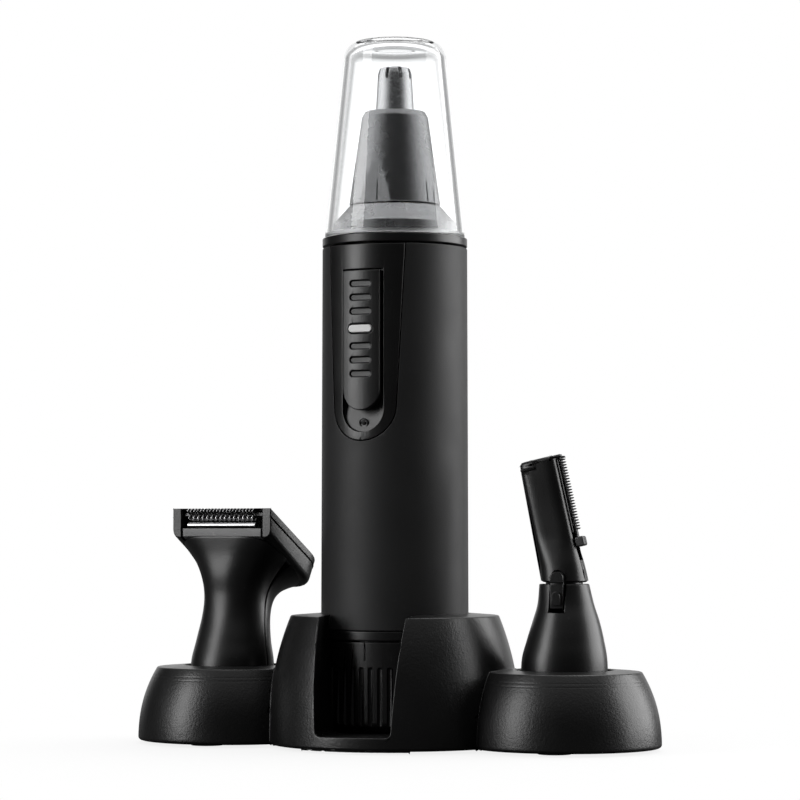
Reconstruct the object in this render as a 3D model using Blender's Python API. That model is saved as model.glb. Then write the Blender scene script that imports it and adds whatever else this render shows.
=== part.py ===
"""Battery nose trimmer set: handle with nose head and clear cover, shaver head, brow head and stand.

Lengths are in millimetres and become metres when a mesh is made. +Z is up, -Y is the front,
and the origin lies on the table under the middle of the stand.
"""

import math

import bmesh
import bpy
from mathutils import Matrix, Vector

MM = 0.001
GAP = 0.3

# Stand
POD_SPACING = 35.0
STAND_LOW = 0.6
STAND_WALL = 2.4
CENTRE_BASE_R = 25.0
CENTRE_RIM_R = 20.6
CENTRE_RIM_Z = 25.8
CENTRE_TOP_Z = 26.9
CENTRE_WELL_R = 15.1
SIDE_BASE_R = 18.8
SIDE_RIM_R = 15.0
SIDE_RIM_Z = 15.2
SIDE_TOP_Z = 16.0
SIDE_WELL_R = 9.6
POD_CURVE = 2.4
WELL_FLOOR_Z = 3.2
PLATE_TOP_Z = 2.4
WINDOW_LOW_HALF = 7.6
WINDOW_TOP_HALF = 9.1
WINDOW_CORNER_R = 1.2
FOOT_R = 3.2
FOOT_TOP_Z = 1.2
SCREW_HEAD_R = 2.1
SCREW_SHANK_R = 0.95
SCREW_LOW_Z = 0.8
SCREW_TOP_Z = 10.0
FOOT_PLACES = ((36.0, 10.0), (-36.0, 10.0), (36.0, -10.0), (-36.0, -10.0))
SCREW_PLACES = ((20.3, 0.0), (-20.3, 0.0), (0.0, 19.4))

# Handle
HANDLE_TURN = -7.0
BARREL_LOW_Z = 23.1
BARREL_TOP_Z = 98.5
BARREL_LOW_R = 14.6
BARREL_TOP_R = 14.4
BARREL_BORE_R = 12.9
COLLAR_TOP_Z = 100.5
SOCKET_R = 9.2
PANEL_TOP_HALF = 8.5
PANEL_LOW_HALF = 6.9
PANEL_LOW_Z = 59.9
SLOT_HALF = 4.45
SLOT_LOW_Z = 61.7
SLOT_TOP_Z = 93.5
SLOT_FLOOR_Y = -12.4
SLIDER_HALF = 4.2
SLIDER_LOW_Z = 65.9
SLIDER_TOP_Z = 93.2
SLIDER_FRONT_R = 15.05
MARK_Z = 81.8
CAP_LOW_Z = 3.5
CAP_TOP_Z = 20.9
CAP_R = 14.3
CELL_R = 7.2
CELL_LOW_Z = 12.0
CELL_TOP_Z = 61.0
MOTOR_R = 7.7
MOTOR_LOW_Z = 66.5
MOTOR_TOP_Z = 88.0
SHAFT_R = 1.0
CONTACT_THICK = 0.4

# Nose head and cover
SPIGOT_R = 8.3
FLANGE_R = 12.3
CONE_LOW_Z = 107.1
CONE_LOW_R = 9.1
CONE_TOP_Z = 126.0
CONE_TOP_R = 6.6
TUBE_TOP_Z = 134.8
TUBE_LOW_R = 3.8
TUBE_TOP_R = 3.35
TUBE_SLOTS = 8
TUBE_SLOT_HALF = 0.33
TUBE_SLOT_DEEP = 2.2
TUBE_WALL = 0.6
COVER_LOW_Z = 100.8
COVER_TOP_Z = 140.0
COVER_LOW_R = 13.9
COVER_TOP_R = 10.1
COVER_CORNER_R = 3.4
COVER_WALL = 1.25
TONGUE_HALF = 3.65
SPINDLE_R = 1.1

# Shaver head, with its slab in the slab's own frame: front edge at y = 0, top at z = 0
SHAVER_TURN = -10.0
HEAD_LOW_Z = 3.7
SLAB_FRONT_Y = -4.1
SLAB_TOP_Z = 47.1
SLAB_TILT = 30.0
SLAB_HALF = 11.75
SLAB_LENGTH = 23.2
SLAB_THICK = 5.0
SLAB_REAR_CORNER = 5.5
SLAB_MOUTH_HALF = 9.7
SLAB_MOUTH_DEPTH = 5.0
CRANK_THROW = 0.6
NECK_WALL = 1.7
BUSH_CLEARANCE = 0.12

# Brow head, with its arm in a leaning frame: z along the arm, x towards the blades
BROW_SEAM_Z = 32.35
BROW_LEAN = 12.8
BROW_ARM_X = 0.2
BROW_ARM_Z = 33.0
BROW_EDGE_X = 3.7
ARM_SPLIT_FRONT_Y = -1.25
ARM_SPLIT_REAR_Y = -0.95
LATCH_LOW_Z = 26.7
LATCH_TOP_Z = 34.9
LATCH_HALF = 1.6
LATCH_FRONT_Y = -5.3
LATCH_BACK_Y = -4.2

FINE = 36
ROUND = 24
SMALL = 16


def clear_scene():
    for item in list(bpy.data.objects):
        bpy.data.objects.remove(item, do_unlink=True)


def make_material(name, colour, roughness, metallic=0.0, alpha=1.0):
    material = bpy.data.materials.new(name)
    material.use_nodes = True
    shader = material.node_tree.nodes["Principled BSDF"]
    shader.inputs["Base Color"].default_value = (*colour, 1.0)
    shader.inputs["Roughness"].default_value = roughness
    shader.inputs["Metallic"].default_value = metallic
    shader.inputs["Alpha"].default_value = alpha
    return material


def make_axis(name, place, turn=0.0, axis="Z", parent=None):
    """An empty on a joint's axis, which its pieces hang from."""
    empty = bpy.data.objects.new(name, None)
    bpy.context.scene.collection.objects.link(empty)
    empty.location = Vector(place) * MM
    empty.rotation_euler["XYZ".index(axis)] = math.radians(turn)
    empty.parent = parent
    return empty


def make_piece(name, bm, material, parent=None, place=(0.0, 0.0, 0.0)):
    """Turns a bmesh in millimetres into a named object in metres."""
    bmesh.ops.remove_doubles(bm, verts=bm.verts, dist=1e-4)
    bmesh.ops.recalc_face_normals(bm, faces=bm.faces)
    bmesh.ops.transform(bm, matrix=Matrix.Scale(MM, 4), verts=bm.verts)
    mesh = bpy.data.meshes.new(name)
    bm.to_mesh(mesh)
    bm.free()
    mesh.shade_smooth()
    mesh.set_sharp_from_angle(angle=math.radians(35.0))
    piece = bpy.data.objects.new(name, mesh)
    bpy.context.scene.collection.objects.link(piece)
    piece.location = Vector(place) * MM
    piece.parent = parent
    if material:
        mesh.materials.append(material)
    return piece


def make_cutter(name, bm, parent=None, place=(0.0, 0.0, 0.0)):
    cutter = make_piece(name, bm, None, parent, place)
    cutter.hide_render = True
    cutter.display_type = "WIRE"
    return cutter


def combine(piece, other, operation):
    """Adds a Boolean. The stand's pods share long walls, on which the exact solver leaves open edges."""
    modifier = piece.modifiers.new(other.name, "BOOLEAN")
    modifier.solver = "MANIFOLD" if piece.name.startswith("stand") else "EXACT"
    modifier.operation = operation
    modifier.object = other
    return piece


def cut(piece, *cutters):
    for cutter in cutters:
        combine(piece, cutter, "DIFFERENCE")
    return piece


def join(piece, *others):
    for other in others:
        combine(piece, other, "UNION")
    return piece


def turned(profile, closed=True, steps=ROUND):
    """Spins (radius, height) points round Z. A closed profile makes a ring, an open one ends on the axis."""
    bm = bmesh.new()
    verts = [bm.verts.new((radius, 0.0, height)) for radius, height in profile]
    edges = [bm.edges.new(pair) for pair in zip(verts, verts[1:])]
    if closed:
        edges.append(bm.edges.new((verts[-1], verts[0])))
    bmesh.ops.spin(
        bm,
        geom=verts + edges,
        cent=(0.0, 0.0, 0.0),
        axis=(0.0, 0.0, 1.0),
        angle=math.tau,
        steps=steps,
        use_merge=True,
    )
    bmesh.ops.remove_doubles(bm, verts=bm.verts, dist=1e-4)
    return bm


def rod(radius, low, high, steps=SMALL):
    return turned([(0.0, low), (radius, low), (radius, high), (0.0, high)], False, steps)


def ring(inner, outer, low, high, steps=ROUND):
    return turned([(inner, low), (outer, low), (outer, high), (inner, high)], True, steps)


def block(low, high):
    low = Vector(low)
    high = Vector(high)
    bm = bmesh.new()
    size = high - low
    matrix = Matrix.Translation((low + high) / 2) @ Matrix.Diagonal((*size, 1.0))
    bmesh.ops.create_cube(bm, size=1.0, matrix=matrix)
    return bm


def prism(outline, low, high, axis="Z"):
    """Extrudes an outline from low to high: an (x, y) one along Z, or an (x, z) one along Y."""
    bm = bmesh.new()
    if axis == "Z":
        points = [(x, y, low) for x, y in outline]
        sweep = Vector((0.0, 0.0, high - low))
    else:
        points = [(x, low, z) for x, z in outline]
        sweep = Vector((0.0, high - low, 0.0))
    face = bm.faces.new([bm.verts.new(point) for point in points])
    swept = bmesh.ops.extrude_face_region(bm, geom=[face])["geom"]
    bmesh.ops.translate(bm, verts=[v for v in swept if isinstance(v, bmesh.types.BMVert)], vec=sweep)
    return bm


def arc(centre, radius, start, end, steps):
    """Points on an arc, with its angles in degrees."""
    points = []
    for step in range(steps + 1):
        angle = math.radians(start + (end - start) * step / steps)
        points.append((centre[0] + radius * math.cos(angle), centre[1] + radius * math.sin(angle)))
    return points


def rounded_box(half_x, low_y, high_y, low_r, high_r, steps=4):
    """Outline of a rectangle whose two low corners and two high corners have their own radii."""
    outline = arc((half_x - low_r, low_y + low_r), low_r, -90, 0, steps)
    outline += arc((half_x - high_r, high_y - high_r), high_r, 0, 90, steps)
    outline += arc((high_r - half_x, high_y - high_r), high_r, 90, 180, steps)
    outline += arc((low_r - half_x, low_y + low_r), low_r, 180, 270, steps)
    return outline


def slot_outline(low_half, top_half, low_z, top_z, steps=10):
    """Outline of an upright slot, round below, which widens to a square top."""
    outline = arc((0.0, low_z + low_half), low_half, 180, 360, steps)
    outline += [(top_half, top_z), (-top_half, top_z)]
    return outline


def pill(half, radius, centre_z, steps=6):
    return arc((half - radius, centre_z), radius, -90, 90, steps) + arc(
        (radius - half, centre_z), radius, 90, 270, steps
    )


def oval(half_x, half_y, power, start, end, steps):
    """Points of a superellipse from one angle to another; power 2 is an ellipse, 4 a soft rectangle."""
    points = []
    for step in range(steps + 1):
        angle = math.radians(start + (end - start) * step / steps)
        cosine = math.cos(angle)
        sine = math.sin(angle)
        x = half_x * math.copysign(abs(cosine) ** (2 / power), cosine)
        y = half_y * math.copysign(abs(sine) ** (2 / power), sine)
        points.append((x, y))
    return points


def loft(rings):
    """Closes a body through rings of equally many 3-D points."""
    bm = bmesh.new()
    layers = [[bm.verts.new(point) for point in points] for points in rings]
    count = len(layers[0])
    for low, high in zip(layers, layers[1:]):
        for index in range(count):
            after = (index + 1) % count
            bm.faces.new((low[index], low[after], high[after], high[index]))
    bm.faces.new(list(reversed(layers[0])))
    bm.faces.new(layers[-1])
    return bm


def tilted(points, centre, tilt):
    """Places (x, y) points round a centre, in a plane that falls to the rear by tilt degrees."""
    angle = math.radians(tilt)
    cosine = math.cos(angle)
    sine = math.sin(angle)
    return [(centre[0] + x, centre[1] + y * cosine, centre[2] - y * sine) for x, y in points]


def helix(name, radius_low, radius_high, low, high, turns, wire, material, parent):
    curve = bpy.data.curves.new(name, "CURVE")
    curve.dimensions = "3D"
    curve.bevel_depth = wire * MM
    curve.bevel_resolution = 1
    curve.use_fill_caps = True
    spline = curve.splines.new("POLY")
    count = turns * 10 + 1
    spline.points.add(count - 1)
    for index in range(count):
        part = index / (count - 1)
        radius = radius_low + (radius_high - radius_low) * part
        angle = math.tau * turns * part
        height = low + (high - low) * part
        point = Vector((radius * math.cos(angle), radius * math.sin(angle), height)) * MM
        spline.points[index].co = (*point, 1.0)
    spring = bpy.data.objects.new(name, curve)
    curve.materials.append(material)
    bpy.context.scene.collection.objects.link(spring)
    spring.parent = parent
    return spring


# Stand


def pod_outer(base_r, rim_r, rim_z, top_z, steps):
    """Outer profile of a pod from the axis below to the axis above: a swelling wall and a shallow cone."""
    profile = [(0.0, STAND_LOW)]
    for step in range(steps + 1):
        height = STAND_LOW + (rim_z - STAND_LOW) * step / steps
        profile.append((base_r - (base_r - rim_r) * (height / rim_z) ** POD_CURVE, height))
    profile.append((0.3 * rim_r, top_z))
    profile.append((0.0, top_z))
    return profile


def pod_inner(base_r, rim_r, rim_z, steps):
    """Profile of the hollow inside a pod, one wall thickness in and open below."""
    ceiling = rim_z - STAND_WALL * 0.8
    profile = [(0.0, -1.0), (base_r - STAND_WALL, -1.0)]
    for step in range(1, steps + 1):
        height = ceiling * step / steps
        wall_r = base_r - (base_r - rim_r) * (height / rim_z) ** POD_CURVE
        profile.append((wall_r - STAND_WALL, height))
    profile.append((0.0, ceiling))
    return profile


def window_outline():
    low = WELL_FLOOR_Z
    high = CENTRE_TOP_Z + 2.0
    radius = WINDOW_CORNER_R
    outline = arc((WINDOW_LOW_HALF - radius, low + radius), radius, -90, 0, 3)
    outline += [(WINDOW_TOP_HALF, high), (-WINDOW_TOP_HALF, high)]
    outline += arc((radius - WINDOW_LOW_HALF, low + radius), radius, 180, 270, 3)
    return outline


def plate_outline():
    """Outline of the base plate: three overlapping discs, joined where their circles cross."""
    centre_r = CENTRE_BASE_R - STAND_WALL - 2 * GAP
    side_r = SIDE_BASE_R - STAND_WALL - 2 * GAP
    cross_x = (POD_SPACING**2 + centre_r**2 - side_r**2) / (2 * POD_SPACING)
    cross_y = math.sqrt(centre_r**2 - cross_x**2)
    centre_angle = math.degrees(math.atan2(cross_y, cross_x))
    side_angle = math.degrees(math.atan2(cross_y, cross_x - POD_SPACING))
    outline = arc((POD_SPACING, 0.0), side_r, -side_angle, side_angle, 20)
    outline += arc((0.0, 0.0), centre_r, centre_angle, 180 - centre_angle, 16)[1:-1]
    outline += arc((-POD_SPACING, 0.0), side_r, 180 - side_angle, 180 + side_angle, 20)
    outline += arc((0.0, 0.0), centre_r, 180 + centre_angle, 360 - centre_angle, 16)[1:-1]
    return outline


def build_stand(plastic, rubber, steel):
    sides = (-POD_SPACING, POD_SPACING)
    centre_wall = pod_outer(CENTRE_BASE_R, CENTRE_RIM_R, CENTRE_RIM_Z, CENTRE_TOP_Z, 5)
    side_wall = pod_outer(SIDE_BASE_R, SIDE_RIM_R, SIDE_RIM_Z, SIDE_TOP_Z, 4)
    shell = make_piece("stand_shell", turned(centre_wall, False, 40), plastic)
    hollow_wall = pod_inner(CENTRE_BASE_R, CENTRE_RIM_R, CENTRE_RIM_Z, 2)
    hollow = make_cutter("stand_hollow", turned(hollow_wall, False, 24))
    for side in sides:
        pod = make_cutter("side_pod", turned(side_wall, False, 28), place=(side, 0.0, 0.0))
        join(shell, pod)
        inner_wall = pod_inner(SIDE_BASE_R, SIDE_RIM_R, SIDE_RIM_Z, 2)
        inner = make_cutter("side_hollow", turned(inner_wall, False, 20), place=(side, 0.0, 0.0))
        join(hollow, inner)

    # What stays solid inside the hollow: the walls of the wells, the window's frame and the screw bosses.
    centre_tube = rod(CENTRE_WELL_R + 1.6, WELL_FLOOR_Z, 40.0, 24)
    cut(hollow, make_cutter("centre_tube", centre_tube))
    for side in sides:
        tube = rod(SIDE_WELL_R + 1.6, WELL_FLOOR_Z, 40.0, 20)
        cut(hollow, make_cutter("side_tube", tube, place=(side, 0.0, 0.0)))
    frame_half = WINDOW_TOP_HALF + 1.9
    frame_block = block((-frame_half, -30.0, -2.0), (frame_half, -13.5, 40.0))
    cut(hollow, make_cutter("window_frame", frame_block))
    for x, y in SCREW_PLACES:
        boss = rod(SCREW_HEAD_R + 0.4, PLATE_TOP_Z + GAP, 40.0, 10)
        cut(hollow, make_cutter("screw_boss", boss, place=(x, y, 0.0)))
    cut(shell, hollow)

    cut(shell, make_cutter("centre_well", rod(CENTRE_WELL_R, WELL_FLOOR_Z, 40.0, ROUND)))
    for side in sides:
        well = rod(SIDE_WELL_R, WELL_FLOOR_Z, 30.0, ROUND)
        cut(shell, make_cutter("side_well", well, place=(side, 0.0, 0.0)))
    cut(shell, make_cutter("window", prism(window_outline(), -30.0, -5.0, "Y")))
    for x, y in SCREW_PLACES:
        pilot = rod(SCREW_SHANK_R + 0.35, 0.0, SCREW_TOP_Z + 1.0, 10)
        cut(shell, make_cutter("pilot_hole", pilot, place=(x, y, 0.0)))

    plate = make_piece("stand_base_plate", prism(plate_outline(), STAND_LOW, PLATE_TOP_Z), plastic)
    for side in sides:
        pad = rod(SIDE_WELL_R - GAP, 1.5, WELL_FLOOR_Z, 24)
        join(plate, make_cutter("side_pad", pad, place=(side, 0.0, 0.0)))
    join(plate, make_cutter("centre_pad", rod(12.9, 1.5, WELL_FLOOR_Z, ROUND)))
    notch = block((-frame_half - GAP, -30.0, -1.0), (frame_half + GAP, -13.2, 5.0))
    cut(plate, make_cutter("plate_notch", notch))
    for x, y in SCREW_PLACES:
        recess = rod(SCREW_HEAD_R + 0.4, 0.0, 1.5, 12)
        cut(plate, make_cutter("head_recess", recess, place=(x, y, 0.0)))
        shank_hole = rod(SCREW_SHANK_R + 0.45, 0.0, 5.0, 12)
        cut(plate, make_cutter("shank_hole", shank_hole, place=(x, y, 0.0)))
    for x, y in FOOT_PLACES:
        pocket = rod(FOOT_R + GAP, 0.0, FOOT_TOP_Z + GAP)
        cut(plate, make_cutter("foot_pocket", pocket, place=(x, y, 0.0)))

    screw = [
        (0.0, SCREW_LOW_Z),
        (SCREW_HEAD_R, SCREW_LOW_Z),
        (SCREW_HEAD_R, SCREW_LOW_Z + 0.45),
        (SCREW_SHANK_R, SCREW_LOW_Z + 0.45),
        (SCREW_SHANK_R, SCREW_TOP_Z),
        (0.0, SCREW_TOP_Z),
    ]
    for name, (x, y) in zip(("right", "left", "rear"), SCREW_PLACES):
        make_piece("stand_screw_" + name, turned(screw, False, 12), steel, place=(x, y, 0.0))
    foot_names = ("right_rear", "left_rear", "right_front", "left_front")
    for name, (x, y) in zip(foot_names, FOOT_PLACES):
        make_piece("foot_" + name, rod(FOOT_R, 0.0, FOOT_TOP_Z), rubber, place=(x, y, 0.0))


# Handle


def build_handle(axis, soft_black, satin_black, steel, copper, wrap, white):
    wall = [
        (BARREL_LOW_R, BARREL_LOW_Z),
        (BARREL_TOP_R, BARREL_TOP_Z),
        (BARREL_BORE_R, BARREL_TOP_Z),
        (BARREL_BORE_R, BARREL_LOW_Z),
    ]
    barrel = make_piece("barrel", turned(wall, True, FINE), soft_black, axis)
    opening = slot_outline(PANEL_LOW_HALF, PANEL_TOP_HALF, PANEL_LOW_Z, BARREL_TOP_Z + 2.0)
    cut(barrel, make_cutter("panel_opening", prism(opening, -20.0, -8.0, "Y"), axis))

    panel_ring = ring(11.2, BARREL_TOP_R + 0.03, 50.0, BARREL_TOP_Z - 0.1, FINE)
    panel = make_piece("switch_panel", panel_ring, satin_black, axis)
    inset = slot_outline(PANEL_LOW_HALF - GAP, PANEL_TOP_HALF - GAP, PANEL_LOW_Z + GAP, BARREL_TOP_Z + 2.0)
    combine(panel, make_cutter("panel_outline", prism(inset, -20.0, -8.0, "Y"), axis), "INTERSECT")
    slot = slot_outline(SLOT_HALF, SLOT_HALF, SLOT_LOW_Z, SLOT_TOP_Z, 8)
    cut(panel, make_cutter("slider_slot", prism(slot, -20.0, SLOT_FLOOR_Y, "Y"), axis))
    cut(panel, make_cutter("peg_slot", block((-1.5, -14.0, 73.4), (1.5, -8.0, 82.8)), axis))

    deck = [
        (BARREL_TOP_R, BARREL_TOP_Z + GAP),
        (BARREL_TOP_R, COLLAR_TOP_Z),
        (SOCKET_R, COLLAR_TOP_Z),
        (SOCKET_R, 93.9),
        (4.8, 93.9),
        (4.8, 92.9),
        (10.5, 92.9),
        (10.5, BARREL_TOP_Z + GAP),
    ]
    make_piece("collar", turned(deck, True, FINE), satin_black, axis)

    neck = [
        (12.6, 27.0),
        (12.6, BARREL_LOW_Z - 0.1),
        (14.5, BARREL_LOW_Z - 0.1),
        (14.5, CAP_TOP_Z + GAP),
        (12.6, CAP_TOP_Z + GAP),
        (12.6, 18.1),
        (11.95, 18.1),
        (11.95, 16.9),
        (12.6, 16.9),
        (12.6, 15.2),
        (11.2, 15.2),
        (11.2, 27.0),
    ]
    make_piece("base_ring", turned(neck), satin_black, axis)
    seal = turned(arc((12.5, 17.5), 0.35, 0, 360, 6)[:-1], True, 24)
    make_piece("cap_seal", seal, soft_black, axis)

    sleeve = [
        (7.6, 12.5),
        (8.8, 12.5),
        (8.8, 55.0),
        (12.5, 55.0),
        (12.5, 56.4),
        (8.8, 56.4),
        (8.8, 62.0),
        (7.6, 62.0),
    ]
    make_piece("battery_sleeve", turned(sleeve, True, 24), satin_black, axis)
    cell = [
        (0.0, CELL_LOW_Z),
        (CELL_R, CELL_LOW_Z),
        (CELL_R, CELL_TOP_Z),
        (2.7, CELL_TOP_Z),
        (2.7, CELL_TOP_Z + 1.4),
        (0.0, CELL_TOP_Z + 1.4),
    ]
    make_piece("battery_cell", turned(cell, False, 24), wrap, axis)
    make_piece("positive_contact", rod(4.2, 62.7, 62.7 + CONTACT_THICK), copper, axis)

    carrier = [
        (8.0, 63.6),
        (8.8, 63.6),
        (8.8, 91.0),
        (10.9, 91.0),
        (10.9, 92.4),
        (4.0, 92.4),
        (4.0, 91.2),
        (8.0, 91.2),
    ]
    make_piece("motor_carrier", turned(carrier, True, 24), satin_black, axis)
    make_piece("motor_end_cap", rod(MOTOR_R - 0.2, 64.2, MOTOR_LOW_Z - GAP, 20), white, axis)
    can = [
        (0.0, MOTOR_LOW_Z),
        (MOTOR_R, MOTOR_LOW_Z),
        (MOTOR_R, MOTOR_TOP_Z),
        (3.0, MOTOR_TOP_Z),
        (3.0, 89.2),
        (SHAFT_R + BUSH_CLEARANCE, 89.2),
        (SHAFT_R + BUSH_CLEARANCE, 80.0),
        (0.0, 80.0),
    ]
    make_piece("motor_can", turned(can, False, 20), steel, axis)
    make_piece("switch_contact", block((-2.0, -9.5, 71.0), (2.0, CONTACT_THICK - 9.5, 86.0)), copper, axis)
    build_switch(axis, satin_black, white)


def build_switch(axis, satin_black, white):
    outline = slot_outline(SLIDER_HALF, SLIDER_HALF, SLIDER_LOW_Z, SLIDER_TOP_Z, 8)
    slider = make_piece("switch_slider", prism(outline, -16.0, SLOT_FLOOR_Y - GAP, "Y"), satin_black, axis)
    front = make_cutter("slider_front", rod(SLIDER_FRONT_R, 60.0, 100.0, FINE), axis)
    combine(slider, front, "INTERSECT")
    join(slider, make_cutter("slider_peg", block((-1.0, -13.5, 78.0), (1.0, -9.9, 82.0)), axis))
    pocket = pill(2.7, 1.0, MARK_Z)
    cut(slider, make_cutter("mark_pocket", prism(pocket, -16.0, -14.0, "Y"), axis))
    make_piece("switch_mark", prism(pill(2.4, 0.7, MARK_Z), -15.1, -14.3, "Y"), white, axis)


def build_cap(axis, satin_black, steel, copper):
    cup = [
        (0.0, CAP_LOW_Z),
        (12.8, CAP_LOW_Z),
        (13.9, CAP_LOW_Z + 0.4),
        (CAP_R, CAP_LOW_Z + 1.5),
        (CAP_R, CAP_TOP_Z),
        (13.0, CAP_TOP_Z),
        (13.0, CAP_LOW_Z + 1.4),
        (0.0, CAP_LOW_Z + 1.4),
    ]
    make_piece("battery_cap", turned(cup, False), satin_black, axis)
    make_piece("cap_contact_plate", rod(6.2, 5.2, 5.5, 20), copper, axis)
    helix("cap_contact_spring", 5.2, 3.6, 6.1, 11.3, 3, 0.3, steel, axis)


def build_rotor(axis, steel, plastic):
    make_piece("motor_shaft", rod(SHAFT_R, 80.5, 96.6, 12), steel, axis)
    cup = [
        (0.0, 97.6),
        (3.3, 97.6),
        (3.3, 101.0),
        (4.2, 101.0),
        (4.2, 94.6),
        (SHAFT_R + BUSH_CLEARANCE, 94.6),
        (SHAFT_R + BUSH_CLEARANCE, 96.8),
        (0.0, 96.8),
    ]
    coupler = make_piece("drive_coupler", turned(cup, False, 20), plastic, axis)
    cut(coupler, make_cutter("coupler_slot", block((-6.0, -3.1, 97.6), (6.0, 3.1, 103.0)), axis))


# Nose head and cover


def build_nose_head(axis, smoked, soft_black, steel, brass):
    make_piece("lock_sleeve", ring(8.6, 8.95, 95.0, 98.6, 24), soft_black, axis)
    base = [
        (SPIGOT_R, 95.2),
        (SPIGOT_R, COLLAR_TOP_Z + GAP),
        (FLANGE_R, COLLAR_TOP_Z + GAP),
        (FLANGE_R, 103.5),
        (CONE_LOW_R + 0.15, 106.2),
        (CONE_LOW_R + 0.05, 106.8),
        (7.0, 106.8),
        (7.0, 95.2),
    ]
    make_piece("nose_head_base", turned(base), smoked, axis)
    cone = [
        (CONE_LOW_R, CONE_LOW_Z),
        (CONE_TOP_R, CONE_TOP_Z - 1.3),
        (CONE_TOP_R - 0.6, CONE_TOP_Z - 0.25),
        (TUBE_LOW_R + 0.35, CONE_TOP_Z),
        (TUBE_LOW_R + 0.35, 121.0),
        (5.3, 120.6),
        (7.2, CONE_LOW_Z),
    ]
    housing = make_piece("nose_head_cone", turned(cone), smoked, axis)
    facet_tilt = Matrix.Rotation(math.radians(-3.6), 4, "X")
    facet = block((-6.0, -6.0, -12.0), (6.0, 0.0, 14.0))
    bmesh.ops.transform(facet, matrix=facet_tilt, verts=facet.verts)
    cut(housing, make_cutter("grip_facet", facet, axis, place=(0.0, -8.5, CONE_LOW_Z)))

    tube = [
        (0.0, TUBE_TOP_Z),
        (2.5, TUBE_TOP_Z),
        (TUBE_TOP_R - 0.25, TUBE_TOP_Z - 0.5),
        (TUBE_TOP_R, TUBE_TOP_Z - 1.6),
        (TUBE_LOW_R, CONE_TOP_Z),
        (TUBE_LOW_R, 120.3),
        (4.9, 120.3),
        (4.9, 119.2),
        (TUBE_LOW_R - TUBE_WALL, 119.2),
        (TUBE_LOW_R - TUBE_WALL, CONE_TOP_Z),
        (TUBE_TOP_R - TUBE_WALL, TUBE_TOP_Z - TUBE_WALL),
        (0.0, TUBE_TOP_Z - TUBE_WALL),
    ]
    cutter_tube = make_piece("outer_cutter", turned(tube, False, 24), steel, axis)
    slots = bmesh.new()
    for index in range(TUBE_SLOTS):
        low = (1.3, -TUBE_SLOT_HALF, TUBE_TOP_Z - TUBE_SLOT_DEEP)
        slot = block(low, (5.0, TUBE_SLOT_HALF, TUBE_TOP_Z + 1.0))
        turn = Matrix.Rotation(math.tau * index / TUBE_SLOTS, 4, "Z")
        bmesh.ops.transform(slot, matrix=turn, verts=slot.verts)
        slot_mesh = bpy.data.meshes.new("slot")
        slot.to_mesh(slot_mesh)
        slot.free()
        slots.from_mesh(slot_mesh)
        bpy.data.meshes.remove(slot_mesh)
    cut(cutter_tube, make_cutter("tube_slots", slots, axis))
    make_piece("spindle_bush", ring(SPINDLE_R + BUSH_CLEARANCE, 6.4, 108.0, 110.0, 24), brass, axis)


def build_nose_cutter(axis, steel, plastic):
    spindle = make_piece("cutter_spindle", rod(SPINDLE_R, 99.5, 127.6, 12), plastic, axis)
    tongue = block((-TONGUE_HALF, -0.6, 98.0), (TONGUE_HALF, 0.6, 100.6))
    join(spindle, make_cutter("spindle_tongue", tongue, axis))
    blade = make_piece("inner_cutter", rod(2.1, 127.9, 130.0, 12), steel, axis)
    plate = block((-2.45, -0.3, 128.4), (2.45, 0.3, 133.8))
    cross = block((-0.3, -2.45, 128.4), (0.3, 2.45, 133.8))
    join(blade, make_cutter("blade_plate", plate, axis), make_cutter("blade_cross", cross, axis))
    helix("cutter_spring", 1.9, 1.9, 111.0, 118.6, 4, 0.25, steel, axis)


def build_cover(axis, clear):
    slope = (COVER_LOW_R - COVER_TOP_R) / (COVER_TOP_Z - COVER_CORNER_R - COVER_LOW_Z)
    top_r = COVER_TOP_R + slope * 0.5
    profile = [(0.0, COVER_TOP_Z)]
    corner = arc((top_r - COVER_CORNER_R, COVER_TOP_Z - COVER_CORNER_R), COVER_CORNER_R, 90, 0, 4)
    profile += corner
    profile.append((COVER_LOW_R, COVER_LOW_Z))
    profile.append((COVER_LOW_R - COVER_WALL, COVER_LOW_Z))
    inner_r = COVER_CORNER_R - COVER_WALL
    inner = arc((top_r - COVER_CORNER_R, COVER_TOP_Z - COVER_CORNER_R - 0.7), inner_r, 0, 90, 3)
    profile += inner
    profile.append((0.0, inner[-1][1]))
    make_piece("dust_cover", turned(profile, False, FINE), clear, axis)


# Shaver head

# Each row: height and rear offset of the centre, half width, half depth, tilt, squareness
SHAVER_NECK = (
    (HEAD_LOW_Z, 0.0, 8.3, 8.3, 0.0, 2.0),
    (16.0, 0.2, 8.35, 8.35, 0.0, 2.0),
    (20.5, 0.6, 7.6, 7.4, 0.0, 2.0),
    (25.0, 1.5, 6.9, 6.6, 3.0, 2.1),
    (28.5, 2.4, 6.6, 6.9, 8.0, 2.3),
    (31.3, 3.2, 7.1, 8.1, 15.0, 2.5),
    (33.9, 3.9, 8.7, 9.2, 24.0, 3.0),
    (36.15, 4.3, 11.0, 10.4, 30.0, 4.0),
)


def neck_shell(start, end, steps=10):
    """One half of the hollow neck, between two angles seen from above."""
    rings = []
    for height, rear, half_x, half_y, tilt, power in SHAVER_NECK:
        outer = oval(half_x, half_y, power, start, end, steps)
        inner = oval(half_x - NECK_WALL, half_y - NECK_WALL, power, end, start, steps)
        rings.append(tilted(outer + inner, (0.0, rear, height), tilt))
    return loft(rings)


def comb_outline(half, back, root, tip, pitch, fill, skip=0.0):
    """Outline of a toothed plate: teeth along its low-y edge, from root to tip."""
    outline = [(half, back), (-half, back), (-half, root)]
    count = int((2 * half - 2 * skip) / pitch)
    start = -count * pitch / 2
    for index in range(count):
        left = start + pitch * (index + 0.5 - fill / 2)
        right = start + pitch * (index + 0.5 + fill / 2)
        outline += [(left, root), (left, tip), (right, tip), (right, root)]
    outline.append((half, root))
    return outline


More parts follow.
